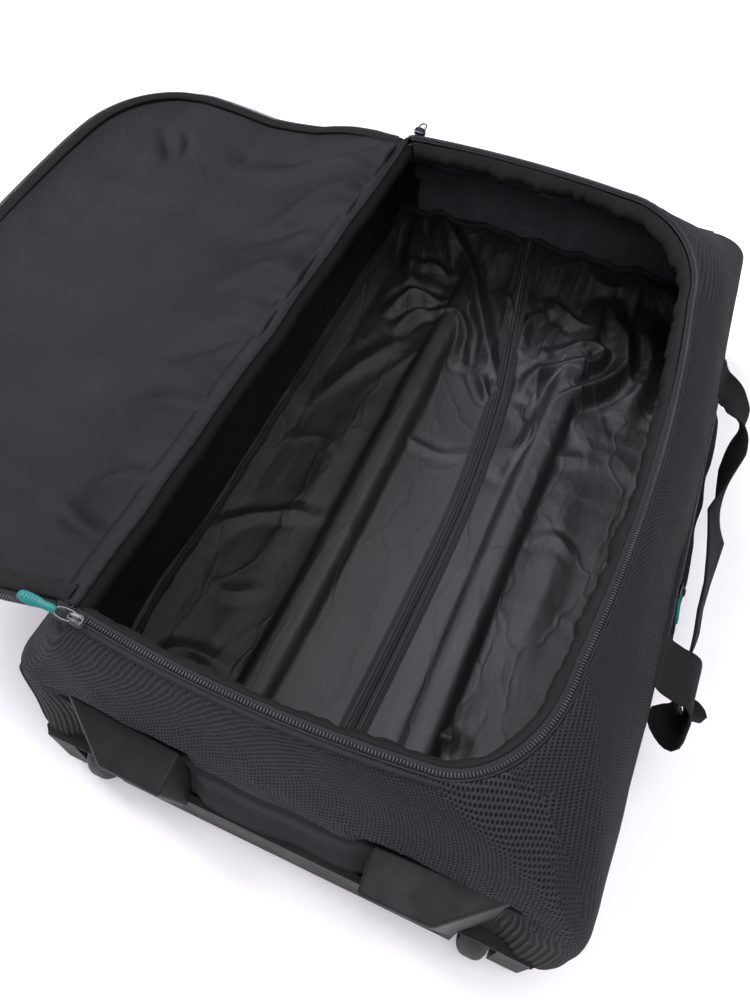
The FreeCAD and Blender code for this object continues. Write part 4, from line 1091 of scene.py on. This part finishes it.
def make_lid():
    """The lid's cloth with its lining up, its bound edge and its half of the zipper."""
    rows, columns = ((150, 260))
    points = lid_grid(rows, columns)
    piece = grid_piece("lid_cloth", points, MATERIALS["lid_lining"])
    piece.data.materials.append(MATERIALS["shell"])
    thicken(piece, 0.0045, -1.0)
    solid = piece.modifiers["thickness"]
    solid.material_offset = 1
    solid.material_offset_rim = 1
    normal = piece.data.polygons[0].normal
    solid.offset = -1.0 if normal.z > 0 else 1.0
    settle(piece)
    finish_piece(piece, "lid", ["lid_panel"])
    border = np.concatenate([points[:, 0], points[-1, 1:-1], points[::-1, -1]])
    path = resample(border, 700)
    _, side, _ = frames_along(path)
    middle = np.array([-0.34, -0.04, 0.24])
    outward = np.sign(((path - middle) * side).sum(axis=1))[:, None] * side
    rows = []
    for across, rise in ((-0.0105, 0.0004), (-0.0100, 0.0022), (-0.004, 0.0028), (0.0, 0.0026),
                         (0.0022, 0.0006), (0.0022, -0.0030), (-0.001, -0.0050), (-0.009, -0.0052)):
        rows.append(path + outward * across + np.array([0, 0, rise]))
    rows = np.array(rows)
    rows[1, :, 2] += 0.0006 * np.sin(np.arange(700) * 1.9)
    sheet_piece("lid_binding", rows, "binding", CLOTH, "lid")
    stitches("lid_binding_stitches", path - outward * 0.0075 + np.array([0, 0, 0.0026]), 0.0036,
             0.0025, 0.0003, "tape", body="lid")
    start = path + outward * 0.0015 + np.array([0, 0, -0.0030])
    end = path + outward * 0.0085 + np.array([0, 0, -0.0034])
    zipper_tape("lid_tape", start[6:-6], end[6:-6], 0.0008, "lid")
    teeth("lid_teeth", end[6:-6] + np.array([0, 0, 0.0002]), (0, 0, 1), 0.0052, 0.0024, 0.0017,
          "coil", "lid", ["lid_zipper"])


def make_hinge():
    """The cloth that joins the lid to the bag, with its serged seam."""
    y = np.linspace(-0.345, 0.255, 240)
    sway = soft_noise(np.stack([y, y * 0, y * 0], axis=1), 0.05, 41) * 0.0012
    rows = []
    profile = [(-0.1555, 0.2440), (-0.1590, 0.2490), (-0.1625, 0.2525), (-0.1655, 0.2545),
               (-0.1680, 0.2551), (-0.1705, 0.2552), (-0.1745, 0.2545), (-0.1800, 0.2538)]
    for x, z in profile:
        rows.append(np.stack([x + sway, y, z + 0 * y], axis=1))
    piece = grid_piece("hinge_cloth", np.array(rows), MATERIALS["lid_lining"])
    thicken(piece, 0.0010, 0.0)
    settle(piece)
    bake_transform(piece)
    line = np.stack([-0.1640 + sway, y, 0.2566 + 0.0004 * np.sin(np.arange(240) * 1.3)], axis=1)
    seam("hinge_serging", line, 0.0017, "binding")


# ---------------------------------------------------------------- sliders and pulls

def basis(along, up):
    """Three square directions, the first along and the last as near to up as it can be."""
    along = Vector(along).normalized()
    up = Vector(up).normalized()
    across = up.cross(along).normalized()
    up = along.cross(across)
    return np.array([along, across, up])


def placed(points, spot, axes):
    """Points given in a piece's own axes, set at a spot of the bag."""
    return np.asarray(spot) + np.asarray(points, float) @ axes


def rounded_slab(outline_points, low, high, bevel):
    """Vertices and faces of a flat shape with softened top and bottom edges."""
    outline_points = np.asarray(outline_points, float)
    centre = outline_points.mean(axis=0)
    rings = []
    for level, shrink in ((low, bevel), (low + bevel * 0.4, bevel * 0.3), (low + bevel, 0),
                          (high - bevel, 0), (high - bevel * 0.4, bevel * 0.3), (high, bevel)):
        inward = centre - outline_points
        inward /= np.linalg.norm(inward, axis=1, keepdims=True)
        ring = outline_points + inward * shrink
        rings.append(np.concatenate([ring, np.full((len(ring), 1), level)], axis=1))
    return np.concatenate(rings), ring_faces(len(rings), len(outline_points))


def box_centre(name):
    """The middle of a CAD node's box."""
    return np.array(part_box(name)).mean(axis=0)


def oval(length, width, power=2.6, count=28, taper=0.0, start=0.0):
    angles = np.linspace(0, 2 * math.pi, count, endpoint=False)
    x = np.sign(np.cos(angles)) * np.abs(np.cos(angles)) ** (2 / power) * length / 2
    y = np.sign(np.sin(angles)) * np.abs(np.sin(angles)) ** (2 / power) * width / 2
    return np.stack([x + start, y * (1 + taper * x / length)], axis=1)


def slab_object(name, outline_points, low, high, bevel, spot, axes, material):
    vertices, faces = rounded_slab(outline_points, low, high, bevel)
    return new_object(name, placed(vertices, spot, axes), faces, material)


def bail(name, spot, axes, length, height, radius, material):
    path = [(-length / 2, 0, 0), (-length * 0.46, 0, height * 0.7), (-length * 0.25, 0, height),
            (length * 0.25, 0, height), (length * 0.46, 0, height * 0.7), (length / 2, 0, 0)]
    path = placed(smooth_curve(path, 18), spot, axes)
    return tube_piece(name, path, radius, material, 8, up=tuple(axes[1]))


def make_slider(name, spot, along, up, body, replaced, size=1.0):
    """A cast slider: nose, two flanges and a bail, spot being on its underside."""
    axes = basis(along, up)
    metal = MATERIALS["gunmetal"]
    unit = MM * size
    flange = oval(13 * unit, 8.4 * unit, 3.0, taper=-0.35)
    nose = oval(4.5 * unit, 2.2 * unit, 2.2, start=4 * unit)
    parts = [
        slab_object(f"{name}_top", flange, 1.4 * unit, 3.0 * unit, 0.6 * unit, spot, axes, metal),
        slab_object(f"{name}_low", flange, -1.6 * unit, -0.3 * unit, 0.5 * unit, spot, axes, metal),
        slab_object(f"{name}_post", nose, -0.6 * unit, 2.0 * unit, 0.3 * unit, spot, axes, metal),
        bail(f"{name}_bail", spot + axes[2] * 2.4 * unit, axes, 8.6 * unit, 3.4 * unit, 0.75 * unit,
             metal),
    ]
    piece = join_meshes(name, parts)
    return finish_piece(piece, body, replaced)


def make_ring_pull(name, spot, along, up, body, replaced, length=15 * MM, width=6.5 * MM,
                   radius=0.8 * MM):
    """A wire ring that starts at the slider's bail and points along its own axis."""
    axes = basis(along, up)
    flat = oval(length, width, 2.4, 40, start=length / 2 - 1.5 * MM)
    path = placed(np.pad(flat, ((0, 0), (0, 1))), spot, axes)
    piece = tube_piece(name, path, radius, MATERIALS["gunmetal"], 10, closed=True,
                       up=tuple(axes[2]))
    return finish_piece(piece, body, replaced)


def make_pull_tab(name, spot, along, up, body, replaced, material, length=30 * MM,
                  width=7.5 * MM, thick=3.4 * MM):
    """A moulded pull with a waist, a rounded end and grip ribs."""
    axes = basis(along, up)
    shape = oval(length, width, 3.2, 44, 0.25, length / 2)
    waist = 1 - 0.24 * np.exp(-((shape[:, 0] - 0.30 * length) / (0.16 * length)) ** 2)
    shape[:, 1] *= waist
    parts = [slab_object(f"{name}_body", shape, -thick / 2, thick / 2, thick * 0.34, spot, axes,
                         MATERIALS[material])]
    for k in range(5):
        place = np.asarray(spot) + axes[0] * (length * (0.52 + 0.075 * k)) + axes[2] * thick * 0.36
        parts.append(slab_object(f"{name}_rib_{k}", oval(0.9 * MM, width * 0.62, 2.4, 14),
                                 0, thick * 0.22, thick * 0.08, place, axes, MATERIALS[material]))
    piece = join_meshes(name, parts)
    return finish_piece(piece, body, replaced)


SLIDER_SEAT = 0.2572     # height of the main sliders' undersides
PULL_PIVOT = 0.25925     # height that their pulls swing about


def make_closure_hardware():
    """The two main sliders with their pulls."""
    for end in ("near", "far"):
        spot = box_centre(f"{end}_main_slider")
        spot[2] = SLIDER_SEAT
        make_slider(f"{end}_slider_metal", spot, (-1, 0, 0), (0, 0, 1), f"{end}_slider",
                    [f"{end}_main_slider"])
    pivot = [*spot[:2], PULL_PIVOT]
    make_ring_pull("far_ring_metal", pivot, (0, 1, 0), (0, 0, 1), "far_pull", ["far_ring_pull"],
                   16 * MM, 7.5 * MM, 0.9 * MM)
    direction = box_centre("main_pull_tab") - box_centre("near_ring_pull")
    direction[2] = 0
    direction /= np.linalg.norm(direction)
    pivot = np.array([*box_centre("near_main_slider")[:2], PULL_PIVOT])
    make_ring_pull("near_ring_metal", pivot, direction, (0, 0, 1), "near_pull", ["near_ring_pull"],
                   18 * MM, 8 * MM, 0.95 * MM)
    make_pull_tab("main_pull", pivot + direction * 15 * MM, direction, (0, 0, 1), "near_pull",
                  ["main_pull_tab"], "teal", 32 * MM, 8 * MM)


# Points that the floor zipper runs through, in millimetres.
FLOOR_ZIP = [(19, -335), (17, -300), (21, -192), (24, -45), (19, 60), (10, 144), (-2, 210),
             (-12, 262), (-22, 318), (-29, 362), (-31, 372)]


def floor_zip_path():
    """The floor zipper's line, a little above the lining and smoother than it."""
    flat = smooth_curve([(x * MM, y * MM, 0) for x, y in FLOOR_ZIP], 420)
    x, y = flat[:, 0], flat[:, 1]
    height = sum(floor_height(x + shift, y) for shift in (-0.009, 0, 0.009)) / 3
    kernel = np.ones(9) / 9
    padded = np.concatenate([np.full(4, height[0]), height, np.full(4, height[-1])])
    flat[:, 2] = np.convolve(padded, kernel, "valid") + 0.0015
    return flat


def make_floor_zip():
    """The zipper along the floor lining, with its slider and pull."""
    path = floor_zip_path()
    band = band_piece("floor_zip_tape", path, 0.0125, 0.0012, MATERIALS["tape"])
    finish_piece(band, "bag", ["floor_zipper"])
    cord = path + np.array([0, 0, 0.0009])
    _, side, _ = frames_along(path)
    for sign, name in ((-1, "left"), (1, "right")):
        welt = path + side * sign * 0.0062 + np.array([0, 0, 0.0008])
        seam(f"floor_zip_{name}_welt", welt, 0.0011, "lining")
        stitches(f"floor_zip_{name}_stitches", cord, 0.0042, 0.0028, 0.00035, "webbing",
                 offset=sign * 0.0100)
    teeth("floor_zip_coil", cord, (0, 0, 1), 0.0048, 0.0017, 0.0013, "lining", "bag")
    direction = (0.066, -0.9976, -0.02)
    spot = box_centre("floor_slider")
    pivot = spot + [0.0002, -0.0030, 0.0002]
    spot[2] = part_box("floor_slider")[0][2] + 0.0012
    make_slider("floor_slider_metal", spot, direction, (0, 0, 1), "floor_slider_body",
                ["floor_slider"], 0.95)
    make_pull_tab("floor_pull_tab", pivot, direction, (0, 0, 1), "floor_pull_body",
                  ["floor_pull"], "gunmetal", 27 * MM, 6.5 * MM, 1.8 * MM)


# ---------------------------------------------------------------- side pocket and handles

def side_wall_x(y, z):
    """How far the right wall stands out at a place."""
    y = np.asarray(y, float)
    z = np.asarray(z, float)
    levels = np.round(np.ravel(z), 3)
    known = {}
    for level in sorted(set(levels)):
        half = wall_ring(level)[SIDE + CORNER:2 * SIDE + CORNER]
        known[level] = (half[:, 1], half[:, 0])
    flat = [np.interp(a, *known[b]) for a, b in zip(np.ravel(y), levels)]
    return np.array(flat).reshape(y.shape)


def make_pocket():
    """The outside pocket on the right wall, with its zipper."""
    near, far, bottom, top = -0.172, 0.140, 0.060, 0.148
    rows = np.linspace(bottom, top, 34)
    columns = np.linspace(near, far, 90)
    y, z = np.meshgrid(columns, rows)
    x = side_wall_x(y, z)
    edge = (smooth_step(near, near + 0.02, y) * smooth_step(far, far - 0.02, y)
            * smooth_step(bottom, bottom + 0.018, z) * smooth_step(top, top - 0.012, z))
    puff = 0.0032 + 0.0065 * edge
    spots = np.stack([y, z, y * 0], axis=-1)
    puff += edge * (soft_noise(spots, 0.05, 51) * 0.0022 + soft_noise(spots, 0.02, 52) * 0.0007)
    x = x + puff
    sheet_piece("pocket_cloth", np.stack([x, y, z], axis=-1), "shell", 0.0018, "bag",
                ["side_pocket"], offset=-1.0)
    frame_line = [(near, bottom), (near, top), (far, top), (far, bottom), (near, bottom)]
    border = []
    for (a, b), (c, d) in zip(frame_line[:-1], frame_line[1:]):
        for t in np.linspace(0, 1, 30, endpoint=False):
            border.append((a + (c - a) * t, b + (d - b) * t))
    border = np.array(border)
    edge_x = side_wall_x(border[:, 0], border[:, 1]) + 0.0035
    path = np.stack([edge_x, border[:, 0], border[:, 1]], axis=1)
    seam("pocket_piping", path, 0.0019, "binding", closed=True, up=(1, 0, 0))
    along = np.linspace(near + 0.004, far - 0.004, 160)
    level = 0.178
    x = side_wall_x(along, np.full(along.shape, level)) + 0.0026
    path = np.stack([x, along, np.full(along.shape, level)], axis=1)
    band = band_piece("pocket_zip_tape", path, 0.0085, 0.0012, MATERIALS["tape"], up=(1, 0, 0.45))
    finish_piece(band, "bag", ["pocket_zipper"])
    teeth("pocket_teeth", path + np.array([0.0006, 0, 0]), (1, 0, 0.45), 0.0046, 0.0021, 0.0015,
          "coil", "bag")
    for name, shift, drop in (("upper", -0.0040, 0.0088), ("lower", 0.0022, -0.0092)):
        seam(f"pocket_zip_{name}_piping", path + np.array([shift, 0, drop]), 0.0019, "twill")
    low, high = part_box("pocket_slider")
    _, y, z = box_centre("pocket_slider")
    make_slider("pocket_slider_metal", np.array([low[0] + 0.0020, y, z]), (0, -1, 0), (1, 0, 0),
                "pocket_slider_body", ["pocket_slider"])
    make_pull_tab("pocket_pull", (high[0] - 0.0008, y, z), (0.24, -0.60, -0.76), (0.96, 0.1, 0.22),
                  "pocket_pull_body", ["pocket_pull_tab"], "teal", 29 * MM, 7 * MM,
                  2.6 * MM)


def strap(name, spine, directions, half_width, replaced, thickness=0.0026):
    """Webbing along a line of points, each with the direction of the webbing's width."""
    count = 220
    path = smooth_curve(spine, count)
    keys = np.linspace(0, 1, len(directions))
    wanted = np.linspace(0, 1, count)
    width = np.stack([np.interp(wanted, keys, np.array(directions, float)[:, k]) for k in range(3)],
                     axis=1)
    tangent = np.gradient(path, axis=0)
    tangent /= np.linalg.norm(tangent, axis=1, keepdims=True)
    width -= (width * tangent).sum(axis=1, keepdims=True) * tangent
    width /= np.linalg.norm(width, axis=1, keepdims=True)
    normal = np.cross(tangent, width)
    rows = []
    for across, high in ((-1, 0), (-0.96, 0.9), (-0.5, 1), (0, 1), (0.5, 1), (0.96, 0.9), (1, 0),
                         (0.96, -0.9), (0.5, -1), (0, -1), (-0.5, -1), (-0.96, -0.9)):
        rows.append(path + width * half_width * across + normal * high * thickness / 2)
    piece = grid_piece(name, np.array(rows + rows[:1]), MATERIALS["webbing"])
    cap_ends(piece, len(rows), count)
    return finish_piece(piece, "bag", replaced)


def make_handles():
    """The two carry handles, sewn down at both ends, and the grab handle at the handle end."""
    near, far = -0.180, 0.131

    def wall(y, z):
        return float(side_wall_x(np.array([y]), np.array([z]))[0])

    spine = [(wall(near, 0.195) - 0.003, near, 0.194), (wall(near, 0.186) + 0.0030, near, 0.186),
             (wall(near, 0.176) + 0.0065, near, 0.178), (0.2450, near, 0.172),
             (0.2580, -0.180, 0.167), (0.2640, -0.184, 0.155), (0.2660, -0.193, 0.141),
             (0.2660, -0.199, 0.129), (0.2620, -0.188, 0.122), (0.2585, -0.160, 0.132),
             (0.2575, -0.122, 0.145), (0.2555, -0.050, 0.146), (0.2550, 0.028, 0.137),
             (0.2560, 0.080, 0.143), (0.2530, 0.107, 0.155), (0.2400, 0.125, 0.167),
             (wall(far, 0.176) + 0.0065, far, 0.176), (wall(far, 0.186) + 0.0030, far, 0.186),
             (wall(far, 0.195) - 0.003, far, 0.194)]
    turns = [(0, 1, 0), (0, 1, 0), (0, 1, 0), (0, 1, 0), (0.05, 1, -0.1), (0.1, 0.9, -0.4),
             (0.2, 0.6, -0.8), (0.3, 0.3, -0.9), (0.3, 0, -1), (0.4, 0, -1), (0.5, 0, -0.9),
             (0.6, 0, -0.8), (0.23, 0, -0.97), (0.0, 0.1, -1), (-0.2, 0.5, -0.85),
             (-0.1, 0.9, -0.4), (0, 1, 0), (0, 1, 0), (0, 1, 0)]
    strap("right_handle_webbing", spine, turns, 0.0235, ["right_carry_handle"])
    mirror = [(-x, y, z) for x, y, z in spine]
    opposite = [(-a, b, c) for a, b, c in turns]
    strap("left_handle_webbing", mirror, opposite, 0.0235, ["left_carry_handle"])
    for name, sign in (("right", 1), ("left", -1)):
        for end, y in (("near", near), ("far", far)):
            for row, level, lift in (("upper", 0.1885, 0.0040), ("lower", 0.1810, 0.0068)):
                x = sign * (wall(y, level) + lift)
                line = resample([(x, y - 0.020, level), (x, y + 0.020, level)], 30)
                stitches(f"{name}_{end}_handle_{row}_stitches", line, 0.0030, 0.0021, 0.0003,
                         "tape")
    far_wall = 0.3935
    spine = [(-0.056, far_wall - 0.001, 0.110), (-0.056, far_wall + 0.006, 0.109),
             (-0.050, far_wall + 0.0125, 0.104), (-0.028, far_wall + 0.0135, 0.099),
             (0.0, far_wall + 0.0138, 0.0975), (0.028, far_wall + 0.0135, 0.099),
             (0.050, far_wall + 0.0125, 0.104), (0.056, far_wall + 0.006, 0.109),
             (0.056, far_wall - 0.001, 0.110)]
    strap("end_handle_webbing", spine, [(0, 0, 1)] * len(spine), 0.0125, ["end_grab_handle"])


# ---------------------------------------------------------------- hoods

def bevelled(name, vertices, faces, width, material, segments=4):
    piece = new_object(name, vertices, faces, MATERIALS[material])
    soften = piece.modifiers.new("rounding", "BEVEL")
    soften.width = width
    soften.segments = segments
    soften.limit_method = "ANGLE"
    soften.angle_limit = 0.35
    soften.harden_normals = True
    settle(piece)
    return piece


def make_hoods():
    """The two moulded scoops over the wheels."""
    for side, sign in (("left", -1), ("right", 1)):
        top = [(77, -384, 158.5), (181, -380, 162), (134, -416, 143), (79, -418, 150)]
        low = [(77, -386, 67), (178, -386, 67), (150, -406, 67), (79, -406, 67)]
        vertices = [(sign * x * MM, y * MM, z * MM) for x, y, z in top + low]
        faces = [[0, 1, 2, 3], [7, 6, 5, 4], [0, 4, 5, 1], [1, 5, 6, 2], [2, 6, 7, 3], [3, 7, 4, 0]]
        if sign > 0:
            faces = [face[::-1] for face in faces]
        piece = bevelled(f"{side}_hood_shell", vertices, faces, 0.0032, "hood", 5)
        finish_piece(piece, "bag", [f"{side}_hood"])


# ---------------------------------------------------------------- solid pieces carried over

# Word in a CAD node's name, its material, and how much its edges are rounded.
NODE_MATERIALS = [
    ("tyre", "tyre", 0.0), ("hub", "hub", 0.0008), ("bearings", "steel", 0.0),
    ("axle", "steel", 0.0004), ("outer_tube", "tube", 0.0), ("mid_tube", "tube", 0.0),
    ("inner_tube", "tube", 0.0), ("glide", "plastic", 0.0), ("saddle", "plastic", 0.001),
    ("socket", "plastic", 0.001), ("housing", "plastic", 0.002), ("bridge", "plastic", 0.0012),
    ("grip", "grip", 0.0), ("button", "button", 0.0012), ("rods", "steel", 0.0),
    ("carriage", "plastic", 0.0014), ("runner", "plastic", 0.0), ("rivets", "steel", 0.0),
    ("screws", "steel", 0.0), ("pad", "foam", 0.003), ("board", "board", 0.0008),
]


def make_pads():
    """The three foam pads under the floor lining."""
    for name in ("floor_pad_left", "floor_pad_centre", "floor_pad_right"):
        low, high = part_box(name)
        corners = [(low, low), (high, low), (high, high), (low, high)]
        vertices = [(a[0], b[1], level) for level in (low[2], high[2]) for a, b in corners]
        faces = [[3, 2, 1, 0], [4, 5, 6, 7], [0, 1, 5, 4], [1, 2, 6, 5], [2, 3, 7, 6], [3, 0, 4, 7]]
        piece = bevelled(f"{name}_foam", vertices, faces, 0.003, "foam", 4)
        finish_piece(piece, "bag", [name])


# ---------------------------------------------------------------- materials and soft edges of the CAD pieces that stay


def dress_nodes():
    """Gives the CAD pieces that stay their materials and soft edges."""
    for name, node in sorted(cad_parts.items()):
        if node.hide_render:
            continue
        for word, material, width in NODE_MATERIALS:
            if word in name:
                node.data.materials.clear()
                node.data.materials.append(MATERIALS[material])
                if width:
                    soften = node.modifiers.new("edges", "BEVEL")
                    soften.width = width
                    soften.segments = 3
                    soften.limit_method = "ANGLE"
                    soften.angle_limit = 0.6
                break


# ---------------------------------------------------------------- floor, lights and camera

def area_light(name, spot, target, size, power, colour=(1.0, 0.968, 1.045)):
    data = bpy.data.lights.new(name, "AREA")
    data.shape = "RECTANGLE"
    data.size, data.size_y = size
    data.energy = power
    data.color = colour
    lamp = bpy.data.objects.new(name, data)
    bpy.context.scene.collection.objects.link(lamp)
    lamp.location = spot
    lamp.rotation_euler = (Vector(target) - Vector(spot)).to_track_quat("-Z", "Y").to_euler()
    return lamp


def make_stage():
    """A white floor, a white surround and three soft lamps."""
    material, tree, shader = principled("studio_floor", (0.94, 0.94, 0.94), 0.7)
    vector = object_coordinates(tree, 1.0)
    tint = ramp(tree, noise_texture(tree, vector, 3.0), 0.4, 0.6, (0.93,) * 3, (0.95,) * 3)
    link(tree, tint, shader.inputs["Base Color"])
    size = 14.0
    corners = [(-size, -size), (size, -size), (size, size), (-size, size)]
    piece = new_object("studio_floor", [(x, y, -0.0005) for x, y in corners], [[0, 1, 2, 3]],
                       material, smooth=False)
    world = bpy.data.worlds.new("studio")
    world.use_nodes = True
    world.node_tree.nodes["Background"].inputs[0].default_value = (1, 1, 1, 1)
    world.node_tree.nodes["Background"].inputs[1].default_value = 0.42
    bpy.context.scene.world = world
    bpy.context.scene.view_settings.view_transform = "Standard"
    area_light("key", (-1.5, 0.5, 2.3), (-0.05, 0.0, 0.1), (1.5, 1.5), 95)
    area_light("overhead", (0.5, -0.2, 2.6), (0.0, 0.0, 0.1), (1.6, 1.6), 40)
    area_light("front", (0.4, -1.9, 1.9), (0, 0.1, 0.15), (1.4, 1.0), 23)


def make_camera():
    """The camera that sees the bag as the photograph does."""
    data = bpy.data.cameras.new("photo_view")
    data.sensor_fit = "VERTICAL"
    data.sensor_height = 36.0
    data.lens = 28.84
    data.shift_x = 0.0004
    data.shift_y = -0.0052
    data.clip_start = 0.02
    data.clip_end = 60
    camera = bpy.data.objects.new("photo_view", data)
    bpy.context.scene.collection.objects.link(camera)
    right = Vector((0.91655, 0.39931, 0.02211)).normalized()
    forward = Vector((-0.20448, 0.51543, -0.83218)).normalized()
    up = right.cross(forward).normalized()
    turn = Matrix((right, up, -forward)).transposed()
    camera.matrix_world = Matrix.Translation((0.1089, -0.4879, 0.7592)) @ turn.to_4x4()
    bpy.context.scene.camera = camera


# ---------------------------------------------------------------- the whole bag

make_bag_cloth()
make_bag_base()
make_seams()
make_mouth()
make_wall_lining()
make_floor()
make_lid()
make_hinge()
make_closure_hardware()
make_floor_zip()
make_pocket()
make_handles()
make_hoods()
make_pads()
dress_nodes()
make_stage()
make_camera()
